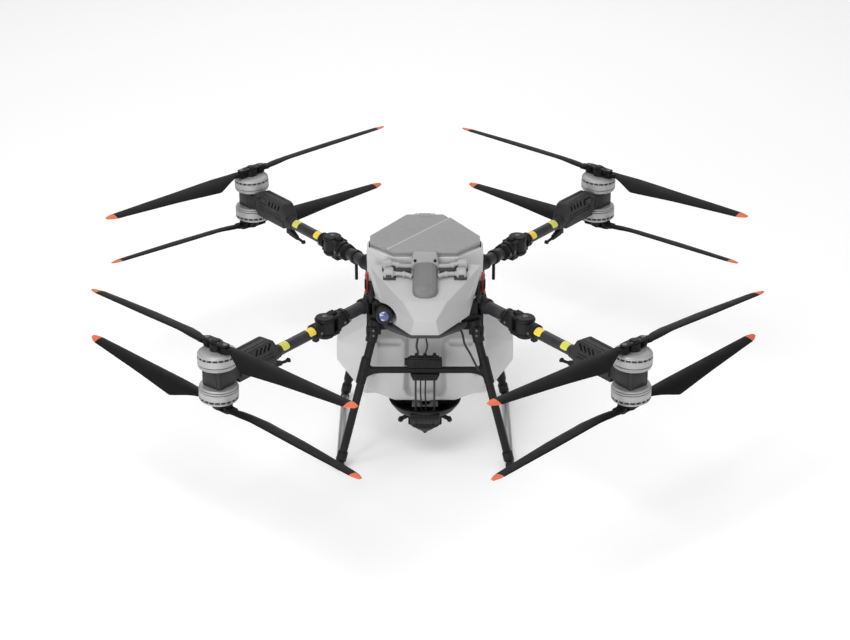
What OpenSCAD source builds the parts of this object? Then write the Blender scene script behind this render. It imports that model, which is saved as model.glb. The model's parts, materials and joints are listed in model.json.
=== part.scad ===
// Agricultural drone with eight coaxial rotors, folding arms and a granular spreader.
// Millimetres. +Z is up, the nose points along -Y, and the drone's own left is +X.
// The origin is on the ground, under the middle of the four rotor axes.

/* [Rotor layout] */
// Half the distance between the left and right rotors
rotor_x = 688; // [688:1:740]
// Half the distance between the front and rear rotors
rotor_y = 800; // [790:1:840]
// Height of the middle of each coaxial motor pair
rotor_z = 622; // [610:1:640]
// Lean of each rotor axis about its arm
rotor_cant = 1.75; // [0:0.25:3]
// Height of a propeller plane above or below the middle of its motor pair
prop_offset = 109; // [105:1:115]

/* [Propellers] */
// Radius swept by the blade tips
prop_r = 686; // [640:1:686]
// Distance from the rotor axis to a blade's folding pin
blade_pin_x = 47; // [45:1:52]
// Widest chord of a blade
blade_chord = 84; // [70:1:88]
// Chord at the blade tip
tip_chord = 34; // [30:1:38]
// Angle of the parked front right blades from the X axis: upper, lower
front_right_park = [46.3, 44.2]; // [35:0.1:55]
// Angle of the parked front left blades from the X axis: upper, lower
front_left_park = [44.3, 45.3]; // [35:0.1:55]
// Angle of the parked rear right blades from the X axis: upper, lower
rear_right_park = [41.6, 42.3]; // [35:0.1:55]
// Angle of the parked rear left blades from the X axis: upper, lower
rear_left_park = [39.5, 42.5]; // [35:0.1:55]

/* [Motors] */
// Outside radius of a motor bell
bell_r = 67.5; // [60:0.5:70]
// Side of the square motor mount
mount_side = 82; // [76:1:90]
// Radius of a motor shaft
shaft_r = 8; // [6:0.5:10]

/* [Arms] */
// Direction of an arm from the X axis, seen from above
arm_angle = 52.2; // [50:0.1:54]
// Height of the arm tube's axis
arm_z = 597; // [590:1:605]
// Distance from the rotor axis in to the fold pin
fold_distance = 548; // [540:1:560]
// Length of the fixed inner tube, from the fold pin to its root
inner_length = 250; // [240:1:255]
// Outside radius of the outer arm tube
arm_tube_r = 20.5; // [18:0.5:22]
// Outside radius of the inner arm tube
inner_tube_r = 23; // [21:0.5:24]
// Radius of the fold pin
fold_pin_r = 9; // [7:0.5:10]

/* [Hopper] */
// Half width of the hopper's neck
neck_half_w = 211; // [205:1:212]
// Half width of the hopper at its shoulders
shoulder_half_w = 326; // [300:1:328]
// Height of the hopper's rim
rim_z = 752; // [740:1:752]
// Thickness of the hopper's wall
hopper_wall = 5; // [4:0.5:6]
// Thickness of the lid
lid_t = 20; // [18:1:22]

/* [Undercarriage] */
// Half the distance between the two skid tubes
skid_x = 310; // [300:1:316]
// Front end of the skid tubes
skid_front = -312; // [-320:1:-300]
// Rear end of the skid tubes
skid_rear = 275; // [270:1:290]
// Radius of the skid tubes
skid_r = 14; // [12:0.5:15]
// Radius of the leg tubes
leg_r = 15; // [13:0.5:16]

/* [Spreader] */
// Distance of the spreader's axis in front of the origin
spreader_y = -122; // [-125:1:-118]
// Radius of the guard bowl's rim
bowl_r = 133; // [125:1:135]
// Radius of the spinner disc
spinner_r = 84; // [76:1:86]

/* [Hidden] */
$fn = 48;
gap = 0.05;
shim = 0.3;
hull_fn = 24;
mount_half_h = 36;
bell_low = 42;
bell_high = 92;
plate_gap = 17.5;
plate_t = 7;
ear_t = 17;
hub_low = prop_offset - plate_gap / 2 - plate_t;
lid_z = rim_z + 3;
hinge_y = 250;
hinge_z = lid_z + 10;
bay_y0 = 268;
bay_y1 = 396;
camera_at = [-145, -254, 590];
gate_travel = 56;
gate_hole_r = 20;
outlet_r = 36;
latch_x = 204.5;
latch_y = -84;
latch_pin_z = 592;
latch_pin_r = 3;
latch_w = 12;
latch_d = 25.8;
latch_h = 86;
lid_pin_r = 4;
camera_r = 34;
camera_pin_r = 3;
blade_pin_r = 6;
blade_root = 78;
vents = 24;
knuckle_r = 34;
knuckle_h = 44;
knuckle_end = 60;
ear_r = 36;
ear_h = 10;
esc_length = 262;
esc_half_w = 29;
socket_r = 29;
rail_out = 219;
rail_low = arm_z - 32;
rail_h = 64;
beam_h = 50;
bay_low = 470;
bay_wall = 10;
leg_top = [172, -206, 560];
leg_foot = [skid_x, skid_front + 6, skid_r];
rear_leg_top = [180, 284, 600];
rear_leg_foot = [skid_x, skid_rear - 25, skid_r];
leg_end_z = 40;
crossbar_z = 364;
strut_x = 34;
strut_r = 4;
cable_x = [-16, 2];
peg_at = [rotor_x - 700 * cos(arm_angle), rotor_y - 700 * sin(arm_angle), 0];

// ---- placing ----

// Everything in a corner is drawn at the rear left, then mirrored to its place.
module corner(left, rear) {
    mirror([left ? 0 : 1, 0, 0]) mirror([0, rear ? 0 : 1, 0]) children();
}

// The arm's own frame: origin at the rotor axis at arm height, +X outwards.
module on_arm() {
    translate([rotor_x, rotor_y, arm_z]) rotate([0, 0, arm_angle]) children();
}

// The fold pin's frame: origin on the pin at arm height, +X outwards.
module on_fold() {
    on_arm() translate([-fold_distance, 0, 0]) children();
}

// A rotor's frame: level is 1 above and -1 below, +Z along the leaning axis.
module on_rotor(level) {
    translate([rotor_x, rotor_y, rotor_z])
        rotate([0, 0, arm_angle]) rotate([level * rotor_cant, 0, 0]) rotate([0, 0, -arm_angle])
            children();
}

// A round bar between two points.
module bar(from, to, r) {
    way = to - from;
    flat = norm([way.x, way.y]);
    translate(from) rotate([0, atan2(flat, way.z), atan2(way.y, way.x)]) cylinder(r = r, h = norm(way));
}

module both_sides() {
    children();
    mirror([1, 0, 0]) children();
}

// ---- rotors ----

// The turning half of one motor, with the propeller's clamp on top of it.
module rotor(level) {
    on_rotor(level) mirror([0, 0, level > 0 ? 0 : 1]) {
        color("darkgray") motor_bell();
        color("dimgray") for (z = [hub_low, hub_low + plate_t + plate_gap])
            rotate([0, 0, park_turn(level)]) clamp_plate(z);
        color("silver") for (side = [-1, 1]) rotate([0, 0, park_turn(level)])
            translate([side * blade_pin_x, 0, hub_low])
                cylinder(r = blade_pin_r, h = 2 * plate_t + plate_gap + 2);
    }
}

// The parked direction is set per corner through $park, so a mirrored rotor keeps its own angle.
function park_turn(level) = 180 - $park[level > 0 ? 0 : 1];

module motor_bell() {
    difference() {
        union() {
            translate([0, 0, bell_low]) cylinder(r = bell_r, h = bell_high - bell_low - 5);
            translate([0, 0, bell_high - 5.01]) cylinder(r1 = bell_r, r2 = bell_r - 7, h = 5.01);
            translate([0, 0, bell_low - 24]) cylinder(r = shaft_r, h = 30);
            translate([0, 0, bell_high - 0.5])
                cylinder(r = 24, h = prop_offset - bell_high + plate_gap / 2 + 1);
        }
        translate([0, 0, bell_low - 1]) difference() {
            cylinder(r = bell_r - 6, h = 34);
            cylinder(r = shaft_r, h = 34);
        }
        for (i = [0 : vents - 1]) rotate([0, 0, i * 360 / vents])
            translate([bell_r - 4, -3, bell_high - 24]) cube([10, 6, 12]);
    }
}

module clamp_plate(z) {
    translate([0, 0, z]) difference() {
        union() {
            for (side = [-1, 1]) translate([side * blade_pin_x, 0, 0]) cylinder(r = 20, h = plate_t);
            translate([-blade_pin_x, -20, 0]) cube([2 * blade_pin_x, 40, plate_t]);
        }
        for (side = [-1, 1]) translate([side * blade_pin_x, 0, -1]) cylinder(r = 5.5, h = plate_t + 2);
    }
}

// One folding blade. Its leading edge is straight, and its chord grows on the trailing side.
module blade(level, side) {
    // Each station is a radius, a chord, a thickness and a pitch.
    stations = [
        [blade_root - 2, 36, 15, 4],
        [188, blade_chord, 12.5, 19],
        [430, 60, 9, 12],
        [prop_r, tip_chord, 5, 8]];
    color([0.16, 0.16, 0.17])
    on_rotor(level) translate([0, 0, level * prop_offset])
        rotate([0, 0, park_turn(level) + (side > 0 ? 0 : 180)]) {
        difference() {
            union() {
                translate([blade_pin_x, 0, -ear_t / 2]) cylinder(r = 17, h = ear_t);
                translate([blade_pin_x, -13, -ear_t / 2]) cube([blade_root - blade_pin_x, 26, ear_t]);
            }
            translate([blade_pin_x, 0, -ear_t]) cylinder(r = blade_pin_r + gap, h = 2 * ear_t);
        }
        for (i = [0 : len(stations) - 2]) hull() for (s = [stations[i], stations[i + 1]])
            blade_section(s[0], s[1], s[2], s[3], level);
    }
}

module blade_section(radius, chord, thickness, pitch, turn) {
    lead = 22;
    translate([radius - (radius > prop_r - 1 ? 1 : 0), 0, 0]) rotate([turn * pitch, 0, 0])
        translate([0, turn * (lead - chord / 2), 0]) rotate([0, 90, 0])
            linear_extrude(1) resize([thickness, chord]) circle(d = chord, $fn = 16);
}

// ---- arms ----

module outer_arm() {
    color([0.3, 0.3, 0.31]) on_fold() {
        difference() {
            union() {
                translate([0, 0, -knuckle_h / 2]) cylinder(r = knuckle_r, h = knuckle_h);
                translate([0, -20, -knuckle_h / 2]) cube([50, 40, knuckle_h]);
                translate([38, 0, 0]) rotate([0, 90, 0]) cylinder(r = 28, h = 28);
            }
            translate([0, 0, -knuckle_h]) cylinder(r = fold_pin_r + gap, h = 2 * knuckle_h);
        }
        translate([knuckle_end, 0, 0]) rotate([0, 90, 0]) difference() {
            cylinder(r = arm_tube_r, h = fold_distance - knuckle_end - 72);
            translate([0, 0, 6]) cylinder(r = arm_tube_r - 3, h = fold_distance);
        }
    }
}

module motor_mount() {
    color([0.25, 0.25, 0.26]) {
        difference() {
            union() {
                translate([rotor_x, rotor_y, rotor_z]) rotate([0, 0, arm_angle])
                    cube([mount_side, mount_side, 2 * mount_half_h], center = true);
                on_arm() esc_housing(esc_length);
                for (level = [-1, 1]) on_rotor(level) translate([0, 0, level * (mount_half_h + 1.5)])
                    cylinder(r = bell_r - 3, h = 7, center = true);
            }
            for (level = [-1, 1]) on_rotor(level) translate([0, 0, level * 29])
                cylinder(r = shaft_r + gap, h = 30, center = true);
            on_arm() translate([-esc_length - 2, 0, 0]) rotate([0, 90, 0])
                cylinder(r = arm_tube_r + gap, h = esc_length + 2 - 71);
        }
        on_arm() blade_rest(esc_length);
    }
}

// The speed controller's housing, with cooling slots in both sides.
module esc_housing(length) {
    difference() {
        translate([-length, 0, 0]) rotate([90, 0, 0]) linear_extrude(2 * esc_half_w, center = true)
            polygon([[0, -26], [length - 72, -28], [length - 72, -9], [length - 30, -9], [length - 30, 62],
                [length - 72, 62], [length - 80, 70], [57, 70], [0, 28]]);
        for (i = [0 : 3], side = [-1, 1]) translate([-length + 70 + i * 20, side * esc_half_w, 50])
            rotate([0, -20, 0]) cube([8, 8, 24], center = true);
    }
}

// The hook that holds a folded blade, under the inner end of the housing.
module blade_rest(length) {
    difference() {
        union() {
            translate([-length - 14, -12, -50]) cube([26, 24, 28]);
            bar([-length, 0, -44], [-length - 88, 0, -57], 6);
        }
        translate([-length - 60, 0, 0]) rotate([0, 90, 0]) cylinder(r = arm_tube_r + gap, h = 100);
        translate([-length, -40, -30]) cube([60, 80, 60]);
    }
}

module inner_arm_tubes() {
    color([0.25, 0.25, 0.26]) for (left = [0, 1], rear = [0, 1]) corner(left, rear)
        on_fold() translate([-inner_length, 0, 0]) rotate([0, 90, 0]) difference() {
            cylinder(r = inner_tube_r, h = inner_length - 56);
            translate([0, 0, -1]) cylinder(r = inner_tube_r - 3, h = inner_length);
        }
}

// The fixed half of each fold joint: a socket on the inner tube, two ears and the pin.
module fold_brackets() {
    ear_low = knuckle_h / 2 + shim;
    color([0.18, 0.18, 0.19]) for (left = [0, 1], rear = [0, 1]) corner(left, rear) on_fold() {
        difference() {
            union() {
                for (z = [ear_low, -ear_low - ear_h]) translate([0, 0, z]) {
                    cylinder(r = ear_r, h = ear_h);
                    translate([-52, -30, 0]) cube([52, 60, ear_h]);
                }
                translate([-60, -30, -ear_low - ear_h]) cube([18, 60, 2 * (ear_low + ear_h)]);
                translate([-104, 0, 0]) rotate([0, 90, 0]) cylinder(r = 31, h = 50);
            }
            translate([-120, 0, 0]) rotate([0, 90, 0]) cylinder(r = inner_tube_r + gap, h = 64.1);
        }
        translate([0, 0, -38]) cylinder(r = fold_pin_r, h = 76);
        for (z = [-40, ear_low + ear_h]) translate([0, 0, z]) cylinder(r = 15, h = 8 - shim);
    }
}

// ---- body ----

module center_frame() {
    block_x = 185;
    front_y = -205;
    step_y = -60;
    color([0.2, 0.2, 0.21]) difference() {
        union() {
            both_sides() translate([rail_out - 9, step_y, rail_low]) cube([9, bay_y0 - 4 - step_y, rail_h]);
            both_sides() translate([block_x, front_y, rail_low]) cube([18, 165, rail_h]);
            both_sides() translate([block_x, step_y, rail_low]) cube([rail_out - block_x, 20, rail_h]);
            translate([-rail_out + 16, front_y, rail_low]) cube([2 * rail_out - 32, 34, beam_h]);
            translate([-rail_out, bay_y0 - 18, rail_low]) cube([2 * rail_out, 14, rail_h]);
            both_sides() translate([157, bay_y0 - 10, rail_low]) cube([rail_out - 157, 46, beam_h]);
            battery_bay();
            for (left = [0, 1], rear = [0, 1]) corner(left, rear) on_fold()
                translate([-inner_length - 10, 0, 0]) rotate([0, 90, 0]) cylinder(r = socket_r, h = 58);
            both_sides() translate([130, front_y, 505]) cube([80, 40, 62]);
        }
        for (left = [0, 1], rear = [0, 1]) corner(left, rear) on_fold()
            translate([-inner_length - gap, 0, 0]) rotate([0, 90, 0])
                cylinder(r = inner_tube_r + gap, h = 90);
        both_sides() bar(leg_top, leg_foot, leg_r + gap);
        both_sides() bar(rear_leg_top, rear_leg_foot, leg_r + gap);
        neck_form(1.5, 400, 800);
    }
    color("silver") both_sides() latch_lugs();
}

// Two ears and a pin that carry a hopper latch on the side rail.
module latch_lugs() {
    for (y = [-20, 13]) translate([latch_x - 2, latch_y + y, latch_pin_z - 10]) cube([16, 7, 20]);
    translate([latch_x + latch_w / 2, latch_y - 20, latch_pin_z]) rotate([-90, 0, 0])
        cylinder(r = latch_pin_r, h = 40);
}

// An open-topped tray behind the hopper that the battery drops into.
module battery_bay() {
    difference() {
        translate([-96, bay_y0 - 5, bay_low]) cube([192, bay_y1 - bay_y0 + 18, 166]);
        translate([-96 + bay_wall, bay_y0 + 4, bay_low + 8])
            cube([192 - 2 * bay_wall, bay_y1 - bay_y0 - 4, 200]);
        for (x = [-30, 30], z = [530, 570]) translate([x, bay_y1 - 10, z]) rotate([-90, 0, 0])
            cylinder(r = 2.25, h = 40);
    }
}

module battery() {
    color([0.15, 0.15, 0.16]) {
        translate([-85, bay_y0 + 5, bay_low + 8 + shim]) cube([170, bay_y1 - bay_y0 - 6, 214]);
        difference() {
            translate([-60, bay_y0 + 50, 690]) cube([120, 26, 34]);
            translate([-45, bay_y0 + 40, 692 + shim]) cube([90, 46, 18]);
        }
    }
}

// Corner points of the cowl's right half, from the back edge to the nose.
function cowl_points(t) = [
    [192 - t, -112, 722 - t], [192 - t, -112, 632], [158 - t, -246, 646 - t], [158 - t, -240, 580],
    [78 - t, -300 + t, 662 - t], [37 - t / 2, -346 + t, 606], [50 - t, -336 + t, 546], [112 - t, -205, 532],
    [150 - t, -112, 532]];

module cowl_form(t) {
    hull() both_sides() for (p = cowl_points(t)) translate(p) sphere(r = 4, $fn = 8);
}

module nose_cowl() {
    color([0.76, 0.76, 0.77]) difference() {
        cowl_form(0);
        difference() {
            cowl_form(5);
            translate([-300, -500, 720]) cube([600, 600, 60]);
        }
        translate([-160, -150, 500]) cube([320, 80, 210]);
        translate([-300, -230, 480]) cube([600, 200, 154]);
        translate([-300, -500, 500]) cube([600, 600, 42]);
        neck_form(3, 500, 800);
        camera_well();
    }
}

module chin_tray() {
    color([0.3, 0.3, 0.31]) difference() {
        hull() both_sides() for (p = [[150, -228, 528], [60, -322, 538], [130, -228, 516], [50, -312, 524]])
            translate(p) sphere(r = 3, $fn = 8);
        translate([-300, -500, 541.5]) cube([600, 400, 100]);
        both_sides() bar(leg_top, leg_foot, leg_r + 3);
        camera_well();
    }
}

module radar_capsule() {
    color([0.55, 0.55, 0.56]) difference() {
        hull() both_sides() {
            translate([30, -262, 678]) sphere(r = 20, $fn = hull_fn);
            translate([32, -250, 700]) sphere(r = 14, $fn = hull_fn);
            translate([30, -140, 733]) sphere(r = 16, $fn = hull_fn);
            translate([32, -140, 690]) sphere(r = 14, $fn = hull_fn);
        }
        cowl_form(0);
        neck_form(3, 500, 800);
    }
}

// Light pipes that carry the radar's wiring to the end blocks.
module capsule_conduits() {
    color([0.72, 0.72, 0.73]) both_sides() difference() {
        union() {
            bar([50, -137, 734], [150, -134, 741], 9);
            bar([50, -176, 716], [118, -176, 716], 8);
            translate([112, -192, 706]) cube([36, 44, 26]);
        }
        cowl_form(0);
    }
}

function neck_outline(t) = [
    [117, -109 + t], [neck_half_w - t, -20], [neck_half_w - t, 34], [74 - t / 2, 240 - t],
    [-74 + t / 2, 240 - t], [-neck_half_w + t, 34], [-neck_half_w + t, -20], [-117, -109 + t]];

// The octagonal neck, grown outwards by extra.
module neck_form(extra, low, high) {
    translate([0, 0, low]) linear_extrude(high - low) polygon(neck_outline(-extra));
}

module hopper_shoulders(t) {
    hull() {
        translate([0, 0, 440]) linear_extrude(1) polygon(neck_outline(t));
        for (z = [300, 376]) translate([0, 0, z]) linear_extrude(1) polygon(shoulder_outline(t));
        translate([0, 30, 206 + t]) linear_extrude(1) square([2 * (224 - t), 300 - t], center = true);
    }
}

function shoulder_outline(t) = [for (side = [1, -1], p = side > 0
    ? [[190, -112 + t], [shoulder_half_w - t, -30], [shoulder_half_w - t, 150], [200, 240 - t]]
    : [[200, 240 - t], [shoulder_half_w - t, 150], [shoulder_half_w - t, -30], [190, -112 + t]])
    [side * p.x, p.y]];

// The lower front of the hopper bulges forward over the spreader.
module hopper_front(t) {
    hull() {
        for (z = [262, 430 - t]) translate([0, -70, z])
            linear_extrude(1) square([2 * (218 - t), 166 - 2 * t], center = true);
        translate([0, -70, 232 + t / 2])
            linear_extrude(1) square([2 * (204 - t), 150 - 2 * t], center = true);
        translate([0, -100, 204 + t]) linear_extrude(1) square([2 * (108 - t), 140 - 2 * t], center = true);
        translate([0, -60, 470 - t]) linear_extrude(1) square([300, 80], center = true);
    }
}

// The whole hopper, shrunk by t on every side, with a groove down its front for the control rods.
module hopper_form(t, top) {
    neck_form(-t, 438, top);
    hopper_shoulders(t);
    difference() {
        hopper_front(t);
        translate([-70 - t, -200, 236 - t]) cube([140 + 2 * t, 72 + t, 320]);
    }
}

module hopper() {
    color([0.8, 0.8, 0.81]) difference() {
        union() {
            hopper_form(0, rim_z);
            translate([0, spreader_y, 200]) cylinder(r = 46, h = 14);
            both_sides() translate([48.5, -128, 191]) cube([8, 68, 24]);
            both_sides() translate([43, -128, 191]) cube([12, 68, 3]);
            both_sides() translate([24, 238, rim_z - 40]) cube([14, 24, 44]);
            both_sides() translate([24, hinge_y, hinge_z]) rotate([0, 90, 0]) cylinder(r = 9, h = 14);
            both_sides() translate([24, 241, hinge_z - 20]) cube([14, 18, 20]);
            both_sides() translate([140, latch_y - 6, 655]) cube([latch_x - 140 - 0.2, 12, 13]);
        }
        hopper_form(hopper_wall, rim_z + 1);
        translate([0, spreader_y, 190]) cylinder(r = outlet_r, h = 40);
        translate([-50, hinge_y, hinge_z]) rotate([0, 90, 0]) cylinder(r = lid_pin_r + gap, h = 100);
    }
}

module hopper_lid() {
    color([0.61, 0.61, 0.62]) difference() {
        union() {
            translate([0, 0, lid_z]) linear_extrude(lid_t)
                polygon([[117, -112], [200, -20], [200, 33], [70, 238],
                    [-70, 238], [-200, 33], [-200, -20], [-117, -112]]);
            translate([-23, 236, hinge_z - 8]) cube([46, 14, 16]);
            translate([-23, hinge_y, hinge_z]) rotate([0, 90, 0]) cylinder(r = 8, h = 46);
            translate([0, 0, rim_z + 0.5]) linear_extrude(3) polygon(neck_outline(hopper_wall + 4));
        }
        translate([0, 0, rim_z - 1]) linear_extrude(12) polygon(neck_outline(hopper_wall + 12));
    }
    color("silver") translate([-44, hinge_y, hinge_z]) rotate([0, 90, 0]) cylinder(r = lid_pin_r, h = 88);
}

// A red and black lever beside the neck. It swings outwards about its lower pin to free the keeper.
module hopper_latch() {
    color("darkred") difference() {
        union() {
            translate([latch_x, latch_y - latch_d / 2, latch_pin_z]) cube([latch_w, latch_d, latch_h]);
            translate([latch_x + latch_w / 2, latch_y - latch_d / 2, latch_pin_z]) rotate([-90, 0, 0])
                cylinder(d = latch_w, h = latch_d);
        }
        translate([latch_x + latch_w / 2, latch_y - 30, latch_pin_z]) rotate([-90, 0, 0])
            cylinder(r = latch_pin_r + gap, h = 60);
    }
}

// ---- undercarriage ----

// A point on the axis of a front or a rear leg, at height z.
function on_leg(z) = along(leg_top, leg_foot, z);
function on_rear_leg(z) = along(rear_leg_top, rear_leg_foot, z);
function along(top, foot, z) = top + (foot - top) * (top.z - z) / (top.z - foot.z);

module front_leg_frame() {
    cross = on_leg(crossbar_z);
    color([0.16, 0.16, 0.17]) {
        both_sides() bar(leg_top, on_leg(leg_end_z), leg_r);
        both_sides() bar(on_leg(500), on_leg(470), 22);
        both_sides() bar(on_leg(crossbar_z + 48), on_leg(crossbar_z - 48), 19);
        translate([-cross.x, cross.y - 11, crossbar_z - 12]) cube([2 * cross.x, 22, 24]);
        both_sides() translate([0, cross.y + 9, 0]) rotate([90, 0, 0]) linear_extrude(18)
            polygon([[cross.x - 62, crossbar_z - 10], [cross.x + 8, crossbar_z - 42],
                [cross.x - 6, crossbar_z + 34], [cross.x - 36, crossbar_z + 10]]);
    }
}

module rear_legs() {
    color([0.16, 0.16, 0.17]) both_sides() {
        bar(rear_leg_top, on_rear_leg(leg_end_z), leg_r);
        bar(on_rear_leg(74), on_rear_leg(170), 19);
    }
}

module skid_bar(extra, from, to) {
    translate([skid_x, from, skid_r + 3]) rotate([-90, 0, 0]) cylinder(r = skid_r + extra, h = to - from);
}

module skid_tubes() {
    color("darkgray") both_sides() difference() {
        skid_bar(0, skid_front, skid_rear);
        skid_bar(-2, skid_front - 1, skid_rear + 1);
    }
}

// Sleeves that join the legs to the skids, each with a flat rubber pad under it.
module skid_feet() {
    color([0.12, 0.12, 0.13]) both_sides() difference() {
        union() {
            skid_bar(2.5, skid_front - 20, skid_front + 46);
            skid_bar(2.5, skid_rear - 56, skid_rear + 16);
            for (y = [skid_front - 12, skid_rear - 56]) translate([skid_x - 14, y, 0]) cube([28, 56, 12]);
            bar(on_leg(22), on_leg(60), leg_r + 4);
            bar(on_rear_leg(22), on_rear_leg(60), leg_r + 4);
        }
        skid_bar(gap, skid_front - 8, skid_rear + 8);
        bar(on_leg(leg_end_z - gap), leg_top, leg_r + gap);
        bar(on_rear_leg(leg_end_z - gap), rear_leg_top, leg_r + gap);
    }
}

// ---- spreader and its controls ----

module control_module() {
    y0 = on_leg(crossbar_z).y;
    color([0.13, 0.13, 0.14]) {
        translate([-64, y0 - 13, 376]) cube([126, 28, 42]);
        translate([-74, y0 - 10, 384]) cube([12, 22, 26]);
        for (x = [-30, 0, 34]) translate([x, y0, 417]) cylinder(r = 6, h = 14);
    }
}

// A bracket under the crossbar, with rods down to the spreader's guard bowl.
module spreader_struts() {
    y0 = on_leg(crossbar_z).y;
    color([0.2, 0.2, 0.21]) {
        translate([-50, y0 - 16, 338]) cube([100, 32, 14]);
        translate([-42, y0 - 14, 326]) cube([84, 28, 14]);
        for (x = [-strut_x, strut_x]) bar([x, y0, 330], [x, spreader_y - 96, 190], strut_r);
        for (x = cable_x) bar([x, y0 + 2, 330], [x, spreader_y - 96, 196], 2.5);
    }
}

module spreader_housing() {
    color([0.12, 0.12, 0.13]) translate([0, spreader_y, 0]) difference() {
        union() {
            rotate_extrude($fn = 64) polygon([[40, 146], [78, 146], [112, 164], [bowl_r, 192],
                [bowl_r - 5, 194], [108, 169], [76, 151], [40, 151]]);
            translate([0, 0, 96]) cylinder(r = 62, h = 53);
            translate([0, 0, 80]) cylinder(r1 = 44, r2 = 62, h = 17);
            translate([0, 0, 48]) cylinder(r1 = 6, r2 = 44, h = 32.5);
            both_sides() bar([50, 0, 122], [90, -10, 106], 9);
            both_sides() translate([90, -10, 104]) sphere(r = 11);
            both_sides() bar([strut_x, -96, 160], [strut_x, -96, 186], 9);
            translate([-40, -102, 158]) cube([80, 12, 22]);
            both_sides() translate([50, -30, 146]) cube([8, 60, 8]);
        }
        translate([0, 0, 60]) cylinder(r = 6 + gap, h = 100);
        both_sides() translate([strut_x, -96, 100]) bar([0, 0, 0], [0, 0, 200], strut_r + gap);
        for (x = concat(cable_x, [-strut_x, strut_x]))
            bar([x, on_leg(crossbar_z).y + 1 - spreader_y, 330], [x, -96, 188], strut_r + 0.4);
        for (x = cable_x) translate([x, -96, 186]) sphere(r = strut_r);
    }
}

module spinner_disc() {
    vanes = 6;
    color("silver") translate([0, spreader_y, 0]) {
        translate([0, 0, 158]) cylinder(r = spinner_r, h = 4, $fn = 64);
        translate([0, 0, 62]) cylinder(r = 6, h = 98);
        translate([0, 0, 161]) cylinder(r1 = 16, r2 = 6, h = 18);
        for (i = [0 : vanes - 1]) rotate([0, 0, i * 360 / vanes])
            translate([14, -1.5, 161]) cube([spinner_r - 18, 3, 12]);
    }
}

// A shutter plate under the outlet. It slides back to open the way to the disc.
module metering_gate() {
    color("gray") translate([0, spreader_y, 0]) {
        difference() {
            translate([-48, -84, 194.5]) cube([96, 134, 5]);
            translate([0, -gate_travel, 190]) cylinder(r = gate_hole_r, h = 20);
        }
    }
}

module camera_bracket() {
    color([0.2, 0.2, 0.21]) for (side = [-1, 1]) translate(camera_at + [side * 37, 0, 0]) difference() {
        union() {
            rotate([0, 90, 0]) cylinder(r = 11, h = 4, center = true);
            translate([-2, 0, -11]) cube([4, -205 - camera_at.y, 22]);
        }
        rotate([0, 90, 0]) cylinder(r = camera_pin_r + gap, h = 10, center = true);
    }
}

module camera_barrel() {
    color([0.24, 0.24, 0.25]) translate(camera_at) {
        rotate([90, 0, 0]) cylinder(r = camera_r, h = 40, center = true);
        rotate([0, 90, 0]) cylinder(r = camera_pin_r, h = 80, center = true);
    }
}

module camera_well() {
    translate([camera_at.x, -100, camera_at.z]) rotate([90, 0, 0]) cylinder(r = camera_r + 12, h = 300);
}

module peg_clamp(r) {
    translate([0, 0, arm_z]) rotate([0, 0, arm_angle]) rotate([0, 90, 0])
        cylinder(r = r, h = r > 25 ? 14 : 40, center = true);
}

// Short pegs that hang from clamps on the two rear inner arm tubes.
module antenna_pegs() {
    color([0.13, 0.13, 0.14]) both_sides() translate(peg_at) {
        difference() {
            peg_clamp(28);
            peg_clamp(inner_tube_r + gap);
        }
        translate([0, 0, 505]) cylinder(r = 6, h = 67);
    }
}

// Leads from the chin tray to the control module, and one down the left leg.
module cable_harness() {
    y0 = on_leg(crossbar_z).y;
    color([0.1, 0.1, 0.11]) {
        for (x = [-24, 4]) bar([x, y0 - 6, 431], [x + 2, y0 - 18, 483], 3);
        bar([140, -232, 482], [178, -250, 392], 3.5);
    }
}

// ---- nodes in each corner ----

module corner_rotor(left, rear, park, level) {
    $park = park;
    corner(left, rear) rotor(level);
}

module corner_blade(left, rear, park, level, side) {
    $park = park;
    corner(left, rear) blade(level, side);
}

module front_left_arm() { corner(true, false) outer_arm(); }
module front_right_arm() { corner(false, false) outer_arm(); }
module rear_left_arm() { corner(true, true) outer_arm(); }
module rear_right_arm() { corner(false, true) outer_arm(); }
module front_left_motor_mount() { corner(true, false) motor_mount(); }
module front_right_motor_mount() { corner(false, false) motor_mount(); }
module rear_left_motor_mount() { corner(true, true) motor_mount(); }
module rear_right_motor_mount() { corner(false, true) motor_mount(); }
module left_hopper_latch() { hopper_latch(); }
module right_hopper_latch() { mirror([1, 0, 0]) hopper_latch(); }
module front_left_upper_rotor() { corner_rotor(true, false, front_left_park, 1); }
module front_left_lower_rotor() { corner_rotor(true, false, front_left_park, -1); }
module front_right_upper_rotor() { corner_rotor(false, false, front_right_park, 1); }
module front_right_lower_rotor() { corner_rotor(false, false, front_right_park, -1); }
module rear_left_upper_rotor() { corner_rotor(true, true, rear_left_park, 1); }
module rear_left_lower_rotor() { corner_rotor(true, true, rear_left_park, -1); }
module rear_right_upper_rotor() { corner_rotor(false, true, rear_right_park, 1); }
module rear_right_lower_rotor() { corner_rotor(false, true, rear_right_park, -1); }
module front_left_upper_blade_a() { corner_blade(true, false, front_left_park, 1, 1); }
module front_left_upper_blade_b() { corner_blade(true, false, front_left_park, 1, -1); }
module front_left_lower_blade_a() { corner_blade(true, false, front_left_park, -1, 1); }
module front_left_lower_blade_b() { corner_blade(true, false, front_left_park, -1, -1); }
module front_right_upper_blade_a() { corner_blade(false, false, front_right_park, 1, 1); }
module front_right_upper_blade_b() { corner_blade(false, false, front_right_park, 1, -1); }
module front_right_lower_blade_a() { corner_blade(false, false, front_right_park, -1, 1); }
module front_right_lower_blade_b() { corner_blade(false, false, front_right_park, -1, -1); }
module rear_left_upper_blade_a() { corner_blade(true, true, rear_left_park, 1, 1); }
module rear_left_upper_blade_b() { corner_blade(true, true, rear_left_park, 1, -1); }
module rear_left_lower_blade_a() { corner_blade(true, true, rear_left_park, -1, 1); }
module rear_left_lower_blade_b() { corner_blade(true, true, rear_left_park, -1, -1); }
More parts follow.
